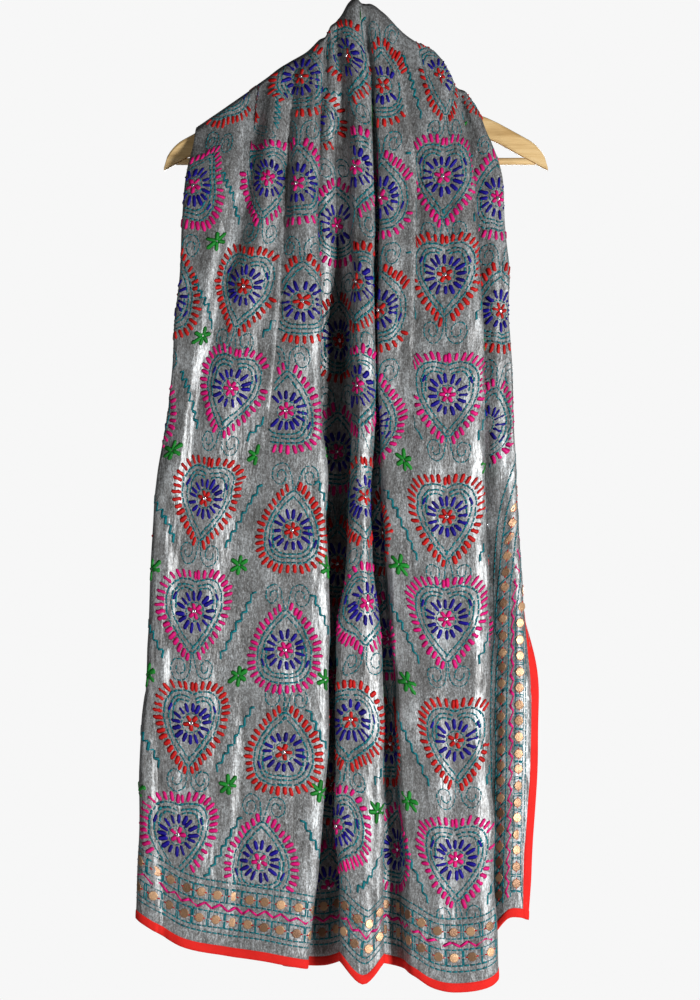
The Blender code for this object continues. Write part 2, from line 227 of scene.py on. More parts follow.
def clothFinish():
    # tissue silk: long fine crinkles down the cloth, with painted shade in their troughs, a metal sheen from
    # the metallic setting, and painted sheen patches and painted glints in the colour
    look = clothLook
    finish = Finish("grey_tissue_silk", Metallic=look["metallic"])
    place = finish.objectPlace()
    streak = {}
    for name, (across, along, shift, detail) in clothStreaks.items():
        where = finish.stretched(place, (across, across, along), (shift,) * 3)
        streak[name] = finish.noise(where, detail, 0.55)
    grain, crinkle = streak["grain"], streak["crinkle"]
    # painted shade and highlight: the colour runs from painted shade to a painted highlight, darker in the
    # crinkles' troughs and lighter in the painted sheen patches and glints; the grain adds fine speckle
    level = crinkle * 0.16 + streak["wide"] * 0.26 + grain * 0.30 + streak["paintedGlint"] * 0.28
    colour = finish.ramp(level, (0.39, look["shade"]), (0.50, look["middle"]), (0.625, look["light"]))
    first = finish.bump(grain, look["grainDepth"], 0.5)
    second = finish.bump(crinkle, look["crinkleDepth"], 0.9, first)
    # sharp pressed creases where a slow noise crosses its middle value
    sharp = finish.node("Math", {"operation": "ABSOLUTE"}, {"Value": streak["crease"] - 0.5}) * -1.0
    third = finish.bump(sharp, look["creaseDepth"], 1.0, second)
    roughness = look["roughness"] + (grain - 0.5) * look["roughnessRange"]
    return finish.done(colour, Roughness=roughness, Normal=third)


def threadFinish(name, dark, light):
    # untwisted floss: strands along the stitch, each stitch a little lighter or darker
    finish = Finish(name, **{"Specular IOR Level": 0.15})
    strands = finish.noise(finish.flat(7.0, 0.7), 2.0, 0.6)
    colour = finish.mix(finish.tone() * 0.6 + strands * 0.5 - 0.05, dark, light)
    normal = finish.bump(strands, 0.0004, 0.6)
    return finish.done(colour, Roughness=0.5 + (strands - 0.5) * 0.3, Normal=normal)


def bindingFinish():
    # plain cotton tape: fine cross weave and slight fading in broad patches
    finish = Finish("red_binding", **{"Roughness": 0.78, "Specular IOR Level": 0.2})
    weave = finish.noise(finish.flat(800.0, 800.0), 1.0, 0.5)
    fade = finish.noise(finish.flat(30.0, 30.0, 2.0), 3.0, 0.6)
    colour = finish.mix(fade * 0.7 + weave * 0.35 - 0.05, (0.46, 0.006, 0.005), (0.80, 0.022, 0.014))
    return finish.done(colour, Normal=finish.bump(weave + fade * 2.0, 0.0005, 0.6))


def mirrorFinish():
    # crumpled copper foil discs, some darker than others
    finish = Finish("copper_foil", Metallic=0.55)
    crumple = finish.noise(finish.flat(900.0, 900.0), 2.0, 0.5)
    colour = finish.mix(finish.tone(), (0.17, 0.088, 0.048), (0.60, 0.36, 0.20))
    return finish.done(colour, Roughness=0.30 + crumple * 0.12, Normal=finish.bump(crumple, 0.0006, 0.6))


def sequinFinish():
    finish = Finish("silver_sequin", Metallic=0.9, Roughness=0.18)
    spot = finish.noise(finish.flat(700.0, 700.0), 1.0, 0.5)
    return finish.done(finish.mix(spot, (0.72, 0.74, 0.78), (0.95, 0.95, 0.97)))


def woodFinish():
    # pale varnished wood, its grain along the arms
    finish = Finish("pale_wood", **{"Coat Weight": 0.35, "Coat Roughness": 0.25})
    place = finish.objectPlace()
    grain = finish.noise(finish.stretched(place, (10.0, 90.0, 130.0)), 4.0, 0.6)
    fleck = finish.noise(finish.stretched(place, (60.0, 500.0, 700.0)), 2.0, 0.6)
    dark, middle, light = (0.47, 0.29, 0.11), (0.69, 0.47, 0.21), (0.80, 0.60, 0.32)
    colour = finish.ramp(grain * 0.8 + fleck * 0.2, (0.30, dark), (0.52, middle), (0.72, light))
    normal = finish.bump(grain + fleck * 0.5, 0.0003, 0.5)
    return finish.done(colour, Roughness=0.36 + grain * 0.18, Normal=normal)


def hookFinish():
    # zinc-plated wire, drawn lengthwise, with dull patches
    finish = Finish("hook_metal", Metallic=1.0)
    patch = finish.noise(finish.objectPlace(), 3.0, 0.6, 160.0)
    colour = finish.mix(patch, (0.52, 0.52, 0.53), (0.78, 0.78, 0.79))
    return finish.done(colour, Roughness=0.22 + patch * 0.2)


# the drape, as in the part's source

# levels: 0 at the ridge, 1 and 2 the shoulder drops, 3 to 6 the sections, 7 the hem
hemLevel = 7.0
sectionZ = (-187.0, -381.0, -569.0, -780.0)
shoulderDrops = (5.0, 24.0)
turnShare = 0.45
frontPlane = (2.2, 10.6, 19.0, 40.0, 56.0, 60.0, 62.0, 60.0)
foldDepth = {
    "crest": (0.0, 0.0, 0.0, 0.0, 0.0, 0.0, 0.0, 0.0),
    "lip": (0.0, 0.0, 3.0, 7.0, 8.0, 8.0, 8.0, 8.0),
    "hollow": (0.0, 0.0, 5.0, 14.0, 6.0, 3.0, 3.0, 4.0),
    "hollowTwo": (0.0, 0.0, 3.0, 8.0, 4.0, 3.0, 3.0, 4.0),
    "edge": (2.4, 2.5, 4.0, 9.0, 10.0, 10.0, 10.0, 10.0),
    "tuckMid": (4.8, 5.0, 9.0, 21.0, 22.0, 22.0, 22.0, 22.0),
    "tucked": (4.8, 5.0, 12.0, 25.0, 24.0, 24.0, 24.0, 24.0),
    "wall": (0.0, 0.0, 8.0, 17.0, 30.0, 36.0, 36.0, 30.0),
    "floorOne": (0.0, 0.0, 6.0, 13.0, 38.0, 50.0, 50.0, 42.0),
    "wallTwo": (0.0, 0.0, 7.0, 14.0, 24.0, 30.0, 30.0, 28.0),
    "floorTwo": (0.0, 0.0, 8.0, 18.0, 31.0, 38.0, 40.0, 36.0),
    "wallThree": (0.0, 0.0, 7.0, 16.0, 23.0, 24.0, 27.0, 26.0),
    "rear": (0.0, 0.0, 4.0, 14.0, 15.0, 15.0, 15.0, 15.0),
    "rearEdge": (2.4, 2.5, 8.0, 18.0, 20.0, 19.0, 18.0, 18.0),
    "rearTuck": (5.2, 5.0, 12.5, 28.0, 42.0, 40.0, 28.0, 23.0),
}
# kind, ridge x and z, x at the four sections, hem x and z: one row for each fold line, left to right
frontFolds = (
    ("tucked", -131, -94, -112, -107, -107, -112, -112, -1065),
    ("tuckMid", -158, -108.5, -172, -178, -189, -195, -203, -1048),
    ("edge", -185, -120, -195, -208, -230, -241, -252, -1029),
    ("crest", -170, -110, -164, -186, -214, -228, -235, -1039),
    ("hollow", -107, -66, -125, -164, -194, -210, -221, -1047),
    ("crest", -89, -52, -101, -136, -166, -185, -203, -1057),
    ("hollow", -74, -43, -83, -98, -122, -135, -150, -1070),
    ("crest", -57, -33, -68, -72, -80, -87, -105, -1076),
    ("lip", -39, -17, -43, -40, -33, -30, -55, -1086),
    ("wall", -35, -15, -55, -73, -82, -78, -82, -1086),
    ("floorOne", -29, -3, -21, -22, -21, -25, -34, -1088),
    ("wall", -23, 2, -8, -6, -6, -13, -16, -1081),
    ("lip", -17, 9, -3, -3, -6, -23, -17, -1078),
    ("crest", -7, 26, 9, 10, 6, 1, 9, -1102),
    ("lip", 3, 28, 23, 23, 15, 30, 31, -1080),
    ("wallTwo", 5, 25, 21, 17, 13, 26, 30, -1083),
    ("floorTwo", 10, 23, 25, 26, 25, 40, 48, -1088),
    ("lip", 17, 23, 27, 27, 35, 49, 67, -1094),
    ("hollowTwo", 30, 14, 60, 55, 62, 73, 84, -1105),
    ("crest", 50, -6, 99, 100, 100, 105, 116, -1111),
    ("lip", 112, -66, 135, 145, 149, 152, 161, -1096),
    ("wallThree", 114, -70, 125, 135, 141, 146, 150, -1068),
    ("rear", 128, -80, 157, 163, 168, 179, 174, -1030),
    ("rearEdge", 142, -102, 169, 178, 184, 194, 187, -1029),
    ("rearTuck", 112, -90, 86, 98, 150, 209, 198, -1033),
)
backPlane = (-0.9, 8.6, 19.0, 34.0, 44.0, 48.0, 50.0, 50.0)
backGrowth = (0.0, 0.0, 0.14, 0.45, 0.85, 1.0, 1.0, 1.0)
backLeftX = (-124.0, -126.0, -136.0, -182.0, -196.0, -214.0, -226.0, -234.0)
backRightX = (110.0, 112.0, 122.0, 152.0, 164.0, 172.0, 178.0, 172.0)
backHemZ = -1022.0
parting = {"halfWidth": 17.0, "drop": 46.0, "setback": 6.5}
# share of the width, depth, lean to the right: one row for each gather
backGathers = (
    (1.25, 20.0, 0.10), (0.80, 34.0, -0.30), (1.10, 26.0, 0.25), (0.70, 38.0, 0.35),
    (0.95, 34.0, -0.30), (1.35, 24.0, 0.20), (0.75, 36.0, -0.35), (1.30, 22.0, -0.60),
)


def joined(t, ends, reach, slopes):
    # smooth curve from one value to the next; reach is how far the slope at each end carries
    return (
        (2 * t**3 - 3 * t**2 + 1) * ends[0] + (t**3 - 2 * t**2 + t) * reach[0] * slopes[0]
        + (3 * t**2 - 2 * t**3) * ends[1] + (t**3 - t**2) * reach[1] * slopes[1]
    )


def smoothRows(knots, values, places):
    # curve through the values with no overshoot: harmonic mean of neighbouring slopes at each knot
    knots, values, places = (np.asarray(a, float) for a in (knots, values, places))
    step = np.diff(knots)
    slope = np.diff(values, axis=0) / step[:, None]
    before, after = slope[:-1], slope[1:]
    sameSign = before * after > 0
    inner = np.where(sameSign, 2 * before * after / np.where(sameSign, before + after, 1.0), 0.0)
    tangent = np.vstack((slope[:1], inner, slope[-1:]))
    cell = np.clip(np.searchsorted(knots, places, side="right") - 1, 0, len(step) - 1)
    width = step[cell][:, None]
    t = (places - knots[cell])[:, None] / width
    return joined(t, (values[cell], values[cell + 1]), (width, width), (tangent[cell], tangent[cell + 1]))


def roundRow(nodes, places):
    # rounded curve through one section's fold points; handles are short where it doubles back
    step = np.linalg.norm(np.diff(nodes[:, :2], axis=0), axis=1)
    slope = np.diff(nodes, axis=0) / step[:, None]
    bend = (1 - (slope[:-1, :2] * slope[1:, :2]).sum(axis=1)) / 2
    weight = step[1:] / (step[:-1] + step[1:])
    weight = (weight * (1 - bend) + 0.5 * bend)[:, None]
    tangent = np.vstack((slope[:1], slope[:-1] * weight + slope[1:] * (1 - weight), slope[-1:]))
    straight = np.linalg.norm(tangent[:, :2], axis=1)
    tangent[:, :2] /= straight[:, None]
    cell = np.clip(np.floor(places).astype(int), 0, len(step) - 1)
    t = (places - cell)[:, None]
    width = step[cell]
    turn = np.minimum(0.8 * width, 3.0 + turnShare * np.abs(nodes[:, 1]).max())
    reach = [(width * share + turn * (1 - share))[:, None] for share in (straight[cell], straight[cell + 1])]
    return joined(t, (nodes[cell], nodes[cell + 1]), reach, (tangent[cell], tangent[cell + 1]))


def levelTable(columns, levels):
    table = np.stack(columns, axis=1)
    knots = np.arange(table.shape[0])
    return smoothRows(knots, table.reshape(len(knots), -1), levels).reshape(len(levels), -1, 3)


def frontLevels(levels):
    columns = []
    for kind, ridgeX, ridgeZ, *sectionX, hemX, hemZ in frontFolds:
        lean = (sectionX[0] - ridgeX) / (ridgeZ - sectionZ[0])
        x = [ridgeX, *(ridgeX + lean * drop for drop in shoulderDrops), *sectionX, hemX]
        z = [ridgeZ, *(ridgeZ - drop for drop in shoulderDrops), *sectionZ, hemZ]
        y = [depth - plane for depth, plane in zip(foldDepth[kind], frontPlane)]
        columns.append(np.column_stack((x, y, z)))
    return levelTable(columns, levels)


def backLevels(levels):
    share, depths, leans = np.array(backGathers).T
    start = np.concatenate(([0.0], np.cumsum(share)[:-1])) / share.sum()
    width = share / share.sum()
    places = [(0.0, 0.0)]
    for at, size, depth, lean in zip(start, width, depths, leans):
        places.append((at + size * (0.30 + 0.3 * lean), 0.0))
        places.append((at + size * (0.78 + 0.3 * lean), depth))
    places.append((1.0, 6.0))
    outer = ("crest", "lip", "edge", "rear", "rearEdge")
    ridge = np.array(sorted(row[1:3] for row in frontFolds if row[0] in outer), float)
    left, right = np.array(backLeftX), np.array(backRightX)
    columns = []
    for across, depth in places:
        x = left + (right - left) * across
        near = max(0.0, 1.0 - (x[0] / (2.2 * parting["halfWidth"])) ** 2)
        top = np.interp(x[0], ridge[:, 0], ridge[:, 1]) - 0.3 - parting["drop"] * near
        z = [top, *(top - drop for drop in shoulderDrops), *sectionZ, backHemZ]
        y = np.array(backPlane) - depth * np.array(backGrowth)
        y[:2] += parting["setback"] * near
        columns.append(np.column_stack((x, y, z)))
    return levelTable(columns, levels)


# the flat cloth and where it lies on the drape

flatCloth = {"width": 1102.0, "pitch": 104.0, "firstColumn": 135.0, "wall": 1.1}

# places across the flat cloth, in mm from the left selvedge, of the front's main fold lines:
# at the ridge, the four sections and the hem
frontAnchors = {
    0: (0, 0, 0, 0, 0, 0, 0),
    2: (88, 94, 119, 150, 173, 181, 190),
    3: (107, 114, 157, 179, 192, 198, 208),
    4: (298, 290, 206, 206, 212, 215, 221),
    5: (320, 312, 239, 239, 246, 240, 241),
    7: (350, 348, 343, 343, 343, 343, 343),
    8: (370, 370, 368, 375, 392, 401, 395),
    10: (646, 636, 551, 551, 551, 551, 551),
    13: (676, 674, 665, 667, 650, 655, 690),
    16: (728, 729, 735, 745, 745, 760, 765),
    17: (744, 746, 757, 759, 797, 806, 813),
    19: (784, 794, 863, 863, 863, 863, 863),
    20: (899, 900, 901, 910, 912, 912, 911),
    21: (906, 910, 927, 935, 955, 1008, 1005),
    22: (928, 936, 960, 963, 1023, 1049, 1051),
    23: (956, 960, 975, 982, 1040, 1079, 1070),
    24: (1102, 1102, 1102, 1102, 1102, 1102, 1102),
}
# between these fold lines spare cloth is tucked away along one fold place
frontTucks = {
    0: 1.75, 3: 3.93, 5: 6.2, 8: 9.0, 10: 11.4, 13: 14.6, 16: 16.5, 17: 18.2, 19: 19.25, 21: 21.5, 23: 23.3,
}
anchorLevels = (0, 2, 3, 4, 5, 6, 7)
# fold places of the hollows that take up the back's spare cloth
backHollows = (4.0, 6.0, 8.0, 10.0, 12.0, 14.0)
tuckWidth, smallSpare = 2.0, 14.0

# soft folds: fold place and height at both ends, width, rise (less than nothing is a trough)
frontCreases = (
    (3.5, -96, 3.2, -420, 9.0, 2.4), (4.4, -90, 4.1, -330, 8.0, -2.0), (5.6, -70, 5.7, -250, 6.0, 1.6),
    (4.6, -210, 4.5, -520, 12.0, 2.0), (3.9, -330, 3.7, -700, 10.0, -1.8),
    (5.0, -430, 4.9, -760, 14.0, 2.2), (5.7, -520, 5.5, -980, 12.0, -2.2),
    (6.6, -560, 6.7, -930, 11.0, 2.0), (4.3, -640, 4.2, -1010, 13.0, 2.4),
    (3.3, -760, 3.2, -1030, 9.0, -2.0), (5.3, -800, 5.3, -1050, 9.0, 2.0),
    (6.2, -850, 6.3, -1060, 8.0, -2.6), (7.0, -640, 7.2, -1070, 9.0, 1.8),
    (2.6, -180, 2.5, -560, 8.0, -1.6), (2.7, -600, 2.6, -1000, 9.0, 1.8),
    (7.5, -60, 7.5, -300, 5.0, 1.4), (7.4, -300, 7.5, -620, 6.0, -1.4),
    (9.6, -260, 9.5, -700, 6.0, 1.8), (13.2, -30, 13.2, -260, 4.0, -1.3),
    (12.6, -300, 12.7, -560, 4.5, 1.2), (13.3, -520, 13.2, -860, 6.0, 1.8),
    (13.6, -820, 13.4, -1080, 6.0, -2.0), (12.5, -700, 12.4, -1060, 5.0, 1.6),
    (17.5, -120, 17.5, -420, 6.0, 1.6), (18.5, -60, 18.6, -330, 7.0, 1.8),
    (18.9, -200, 18.8, -520, 9.0, -2.0), (19.5, -90, 19.4, -400, 9.0, 1.8),
    (19.3, -330, 19.2, -620, 10.0, -1.6), (18.5, -470, 18.4, -800, 9.0, 2.2),
    (19.6, -560, 19.5, -900, 9.0, 2.0), (19.0, -700, 19.1, -1090, 9.0, -2.6),
    (18.3, -830, 18.3, -1080, 7.0, 2.0), (19.5, -900, 19.6, -1100, 8.0, 2.4),
    (22.3, -240, 22.4, -520, 5.0, -1.4), (22.5, -560, 22.4, -900, 6.0, 1.4),
    (17.3, -600, 17.2, -1000, 6.0, -1.6), (10.0, -70, 10.0, -470, 9.5, -13.0),
    (14.2, -80, 14.3, -430, 5.0, -5.0),
)
# sharp steps where one fold lies over the next: fold place and height at both ends, reach, height
frontLedges = (
    (6.15, -36, 6.2, -520, 12.0, 3.0), (3.7, -100, 3.6, -330, 9.0, 2.2),
    (18.2, 2, 18.2, -440, 11.0, 2.8), (7.6, -40, 7.5, -210, 6.0, 1.6),
    (6.0, -700, 6.1, -1072, 8.0, 2.0), (5.0, -60, 4.9, -170, 6.0, 1.5),
    (19.6, -30, 19.5, -200, 7.0, 1.6), (18.6, -880, 18.5, -1104, 7.0, 1.8),
)
backCreases = (
    (0.6, -150, 0.6, -600, 8.0, 2.0), (1.4, -400, 1.5, -980, 9.0, -1.8),
    (2.7, -120, 2.6, -500, 7.0, 1.8), (3.3, -380, 3.2, -900, 8.0, 2.2),
    (4.6, -200, 4.7, -640, 8.0, -1.8), (5.2, -520, 5.3, -1000, 9.0, 2.0),
    (6.6, -120, 6.7, -480, 6.0, 1.6), (7.2, -420, 7.3, -960, 8.0, -2.0),
    (8.6, -240, 8.5, -700, 7.0, 1.8), (9.3, -600, 9.2, -1000, 9.0, 2.2),
    (10.6, -150, 10.7, -620, 8.0, -1.6), (11.3, -300, 11.2, -800, 9.0, 2.2),
    (11.7, -640, 11.6, -1000, 8.0, -2.0), (12.8, -180, 12.7, -560, 7.0, 1.6),
    (13.4, -480, 13.3, -940, 7.0, 2.0), (14.7, -200, 14.6, -760, 8.0, -1.8),
    (15.3, -420, 15.2, -980, 8.0, 2.0), (16.5, -260, 16.4, -820, 7.0, 1.6),
)
backLedges = (
    (2.3, -130, 2.3, -700, 9.0, 2.2), (5.7, -110, 5.6, -560, 8.0, 2.0), (9.6, -90, 9.5, -480, 8.0, 2.0),
    (12.3, -120, 12.3, -760, 9.0, 2.2), (15.6, -140, 15.5, -520, 7.0, 1.8),
)
# the creases that packing leaves: height, how far it reaches across (fold places), depth
packFolds = {
    "front": (
        (-447.0, 1.0, 8.0, 0.7), (-768.0, 1.0, 8.0, 1.1),
        (-768.0, 17.0, 24.0, 1.0), (-447.0, 17.0, 24.0, 0.6),
    ),
    "back": ((-447.0, 0.0, 17.0, 0.7), (-768.0, 0.0, 17.0, 0.9)),
}
# crinkles, fine crinkles and crumples: size across and along, height, slant, shift
clothWaves = ((8.0, 46.0, 0.62, 0.0, 0.0), (4.6, 24.0, 0.26, 0.0, 0.0), (27.0, 58.0, 2.2, 0.22, 90.0))
waveOffset = 300
# share of a crease that fades at each end, half of a ledge's drop, width and wandering of a packed crease
creaseLook = {"fade": 0.22, "drop": 1.5, "packed": 4.0, "wander": 5.0, "wanderSize": 90.0}
# distance up the cloth between the rows of its flat table
rowStep = 2.0


def valueNoise(x, y, seed):
    # smooth noise from -1 to 1: random numbers at whole places, joined by a smooth step both ways
    rng = np.random.default_rng(seed)
    table = rng.uniform(-1, 1, (512, 512))
    i, j = np.floor(x).astype(int), np.floor(y).astype(int)
    a, b = smoothStep(x - i), smoothStep(y - j)
    i, j = i % 511, j % 511
    top = table[i, j] * (1 - b) + table[i, j + 1] * b
    low = table[i + 1, j] * (1 - b) + table[i + 1, j + 1] * b
    return top * (1 - a) + low * a


class Fall:
    # one fall of the cloth: a dense grid of places on its middle surface, with creases,
    # and the flat cloth laid on it, so that anything flat can be put on the drape
    def __init__(self, name, levelPoints, outward, creases, ledges, seed, rows=241, perFold=24):
        self.name, self.outward = name, outward
        self.level = np.linspace(0.0, hemLevel, rows)
        nodes = levelPoints(self.level)
        folds = nodes.shape[1]
        self.fold = np.linspace(0.0, folds - 1.0, (folds - 1) * perFold + 1)
        self.points = np.stack([roundRow(row, self.fold) for row in nodes])
        rise = self.relief(lengthsAlong(self.points, 1), creases, ledges, seed)
        self.points = self.points + self.normals() * rise[..., None]
        self.normal = self.normals()
        self.across = lengthsAlong(self.points, 1)
        down = lengthsAlong(self.points, 0)
        self.aboveHem = down[-1] - down

    def normals(self):
        across, along = (np.gradient(self.points, axis=axis) for axis in (1, 0))
        return unit(np.cross(across, along) * self.outward)

    def awayFrom(self, across, foldTop, zTop, foldBottom, zBottom):
        # distance of all places from a listed line, and how strongly it shows: nothing at its ends
        column = (len(self.fold) - 1) * (foldTop + foldBottom) / 2 / self.fold[-1]
        t = (self.points[:, int(column), 2] - zTop) / (zBottom - zTop)
        line = foldTop + (foldBottom - foldTop) * np.clip(t, 0, 1)
        centre = np.array([np.interp(at, self.fold, row) for at, row in zip(line, across)])
        strength = smoothStep(t / creaseLook["fade"]) * smoothStep((1 - t) / creaseLook["fade"])
        return across - centre[:, None], strength[:, None]

    def relief(self, across, creases, ledges, seed):
        # how far the cloth stands off its smooth form
        rise = np.zeros(across.shape)
        for *line, width, height in creases:
            # height times the bell curve of the distance from the line
            away, strength = self.awayFrom(across, *line)
            rise += height * strength * np.exp(-(away / width) ** 2)
        for *line, reach, height in ledges:
            # climbs towards the line, then drops over 3 mm and climbs back
            away, strength = self.awayFrom(across, *line)
            step = 0.5 - 0.5 * np.tanh(away / creaseLook["drop"])
            rise += height * strength * np.exp(-np.abs(away) / reach) * (1.5 * step - 0.5)
        where = np.broadcast_to(across.mean(axis=0), across.shape)
        z = self.points[..., 2]
        grown = smoothStep((z[:1] - z) / 30.0 + 0.25)
        for n, (wide, tall, height, slant, shift) in enumerate(clothWaves):
            along = z / tall + waveOffset
            rise += grown * height * valueNoise((where + slant * z) / wide + shift, along, seed + n)
        wander = creaseLook["wander"] * valueNoise(where / creaseLook["wanderSize"], 0 * z + 0.5, seed + 2)
        for height, first, last, depth in packFolds[self.name]:
            inside = smoothStep((self.fold - first) / 0.8) * smoothStep((last - self.fold) / 0.8)
            rise -= depth * inside[None, :] * np.exp(-((z - height - wander) / creaseLook["packed"]) ** 2)
        return rise

    def at(self, level, fold):
        # place, outward direction and flat place at arrays of level and fold place
        rows, columns = self.grid.shape[:2]
        return between(self.grid, level / hemLevel * (rows - 1), fold / self.fold[-1] * (columns - 1))

    def layFlat(self, flatAcross):
        # flatAcross: the flat place of every grid point. Keeps, for every mm across and every row
        # up the flat cloth, the place on the drape, its outward direction and the local squeeze
        flatUp = self.aboveHem[..., None]
        self.grid = np.concatenate((self.points, self.normal, flatAcross[..., None], flatUp), axis=2)
        wanted = np.arange(flatCloth["width"] + 1.0)
        column = np.stack([np.interp(wanted, row, np.arange(len(row))) for row in flatAcross])
        i = np.arange(len(self.level))[:, None]
        j = np.clip(column.astype(int), 0, len(self.fold) - 2)
        b = (column - j)[..., None]
        lines = self.grid[i, j] * (1 - b) + self.grid[i, j + 1] * b
        height = lengthsAlong(lines[..., :3], 0)
        height = height[-1] - height
        self.topOf = height[0]
        self.up = np.arange(0.0, self.topOf.max() + 2 * rowStep, rowStep)
        index = np.arange(len(self.level))[::-1]
        row = np.stack([np.interp(self.up, line, index) for line in height[::-1].T])
        k = np.arange(len(wanted))[:, None]
        i = np.clip(row.astype(int), 0, len(self.level) - 2)
        a = (row - i)[..., None]
        laid = lines[i, k, :6] * (1 - a) + lines[i + 1, k, :6] * a
        squeeze = np.linalg.norm(np.gradient(laid[..., :3], axis=0), axis=2)
        self.laid = np.concatenate((laid, squeeze[..., None]), axis=2)

    def onCloth(self, u, v):
        # place, outward direction and squeeze at flat places u across and v above the hem
        return between(self.laid, u, v / rowStep)

    def below(self, flat, margin):
        # which flat places lie at least a margin below the ridge
        column = np.clip(flat[..., 0], 0, len(self.topOf) - 1).astype(int)
        return flat[..., 1] < self.topOf[column] - margin

    def heightOf(self, u, z):
        # distance above the hem, along the cloth at u, of a given height z
        line, top = self.laid[int(u), :, 2], self.topOf[int(u)]
        return np.interp(z, line, self.up) if z < line[-1] else top + z - line[-1]


def tuckedRow(across, fold, anchors):
    # flat place along one row: true length between anchors, and what is spare goes into one narrow tuck
    half = tuckWidth / 2
    knotsS, knotsU = [], []
    for (place, flatPlace), (nextPlace, nextU) in zip(anchors, [*anchors[1:], (None, None)]):
        s = np.interp(place, fold, across)
        knotsS.append(s)
        knotsU.append(flatPlace)
        if nextPlace is None or place not in frontTucks:
            continue
        nextS = np.interp(nextPlace, fold, across)
        spare = (nextU - flatPlace) - (nextS - s)
        tuckS = np.interp(frontTucks[place], fold, across)
        tuckS = min(max(tuckS, s + tuckWidth), nextS - tuckWidth)
        if spare > smallSpare and tuckS - half > s:
            knotsS += [tuckS - half, tuckS + half]
            knotsU += [flatPlace + (tuckS - s) - half, nextU - (nextS - tuckS) + half]
    return np.interp(across, knotsS, np.maximum.accumulate(knotsU))


def frontFlat(fall):
    places = sorted(frontAnchors)
    table = np.array([frontAnchors[p] for p in places], float).T
    rows = smoothRows(anchorLevels, table, fall.level)
    return np.stack([tuckedRow(s, fall.fold, list(zip(places, row))) for s, row in zip(fall.across, rows)])


def backFlat(fall):
    # spare cloth is shared evenly between the hollows of the gathers
    result = []
    for s in fall.across:
        spare = max(0.0, flatCloth["width"] - s[-1]) / len(backHollows)
        at = np.interp(backHollows, fall.fold, s)
        passed = smoothStep((s[:, None] - at[None, :]) / tuckWidth + 0.5).sum(axis=1)
        flatPlace = s + spare * passed
        result.append(flatPlace * flatCloth["width"] / flatPlace[-1])
    return np.stack(result)


front = Fall("front", frontLevels, -1.0, frontCreases, frontLedges, 11)
front.layFlat(frontFlat(front))
back = Fall("back", backLevels, 1.0, backCreases, backLedges, 23)
back.layFlat(backFlat(back))
print("stage: drape worked out")


# cloth shells and bindings

shellSizes = {"front": (236, 198), "back": (196, 186)}
bindingLook = {"width": 11.0, "under": 5.0, "wall": 2.3, "sideExtra": 0.1, "sideRows": 160}
# a binding's wall swells to its full thickness within a millimetre of both its edges
bindingSwell = {"place": (0.0, 0.06, 0.3, 0.7, 0.94, 1.0), "share": (0.15, 0.8, 1.0, 1.0, 0.8, 0.15)}


def spreadColumns(fall, count):
    # columns closer together where the cloth bends: equal shares of length / 5 mm + turning / 0.2 rad
    step = np.diff(fall.across, axis=1).mean(axis=0)
    alike = (fall.normal[:, 1:] * fall.normal[:, :-1]).sum(axis=2)
    turn = np.arccos(np.clip(alike, -1, 1)).mean(axis=0)
    measure = np.concatenate(([0.0], np.cumsum(step / 5.0 + turn / 0.2)))
    return np.interp(np.linspace(0, measure[-1], count), measure, fall.fold)


def levelAbove(fall, fold, distance):
    # level at a distance above the hem, at each fold place
    last = len(fall.fold) - 1
    column = np.clip(fold / fall.fold[-1] * last, 0, last - 0.001).astype(int)
    return np.array([np.interp(distance, fall.aboveHem[::-1, c], fall.level[::-1]) for c in column])


def foldFrom(fall, level, distance, fromRight):
    # fold place at a distance in from a selvedge, at each level
    last = len(fall.level) - 1
    rows = fall.across[np.clip(level / hemLevel * last, 0, last).astype(int)]
    along = [row[-1] - distance if fromRight else distance for row in rows]
    return np.array([np.interp(at, row, fall.fold) for at, row in zip(along, rows)])


def shell(name, grid, wall, finish, slot):
    # closed thin wall on both sides of a grid of (place, outward direction, flat place), with a rim;
    # the wall is one thickness, or one for every place
    rows, columns = grid.shape[:2]
    half = np.broadcast_to(wall, (rows, columns))[..., None] / 2
    direction = unit(grid[..., 3:6])
    outer, inner = grid[..., :3] + direction * half, grid[..., :3] - direction * half
    points = np.concatenate((outer.reshape(-1, 3), inner.reshape(-1, 3)))
    uv = np.tile(grid[..., 6:8].reshape(-1, 2) * mm, (2, 1))
    other = rows * columns
    index = np.arange(other).reshape(rows, columns)
    corners = (index[:-1, :-1], index[:-1, 1:], index[1:, 1:], index[1:, :-1])
    face = np.column_stack([corner.ravel() for corner in corners])
    rim = np.concatenate((index[0, :-1], index[:-1, -1], index[-1, :0:-1], index[:0:-1, 0]))
    following = np.roll(rim, -1)
    edge = np.column_stack((rim, rim + other, following + other, following))
    quads = np.concatenate((face, face[:, (0, 3, 2, 1)] + other, edge))
    # the faces are turned over where they would look inwards
    i, j = rows // 2, columns // 2
    upward, sideways = outer[i, j] - outer[i + 1, j], outer[i, j + 1] - outer[i, j]
    if np.dot(np.cross(upward, sideways), direction[i, j]) > 0:
        quads = quads[:, ::-1]
    return addMesh(name, finish, points, quads, uv=uv, slot=slot)


def makeBody(fall, cloth):
    # every row of the cloth starts and ends a little inside its bindings
    under = bindingLook["under"]
    columns, rows = shellSizes[fall.name]
    fold = spreadColumns(fall, columns)
    # a third of the rows lies above the first section
    upper, lower = np.linspace(0, 3, rows // 3), np.linspace(3, hemLevel, rows - rows // 3 + 1)
    levels = np.concatenate((upper, lower[1:]))
    level = np.outer(levels, levelAbove(fall, fold, under) / hemLevel)
    first, last = foldFrom(fall, levels, under, False), foldFrom(fall, levels, under, True)
    share = (fold - fold[0]) / (fold[-1] - fold[0])
    near, far = (np.exp(-part * fall.fold[-1] * 1.2)[None, :] for part in (share, 1 - share))
    places = fold[None, :] + first[:, None] * near - (fall.fold[-1] - last)[:, None] * far
    body = shell(f"cloth_{fall.name}", fall.at(level, places), flatCloth["wall"], cloth, "cloth")
    return body, fold


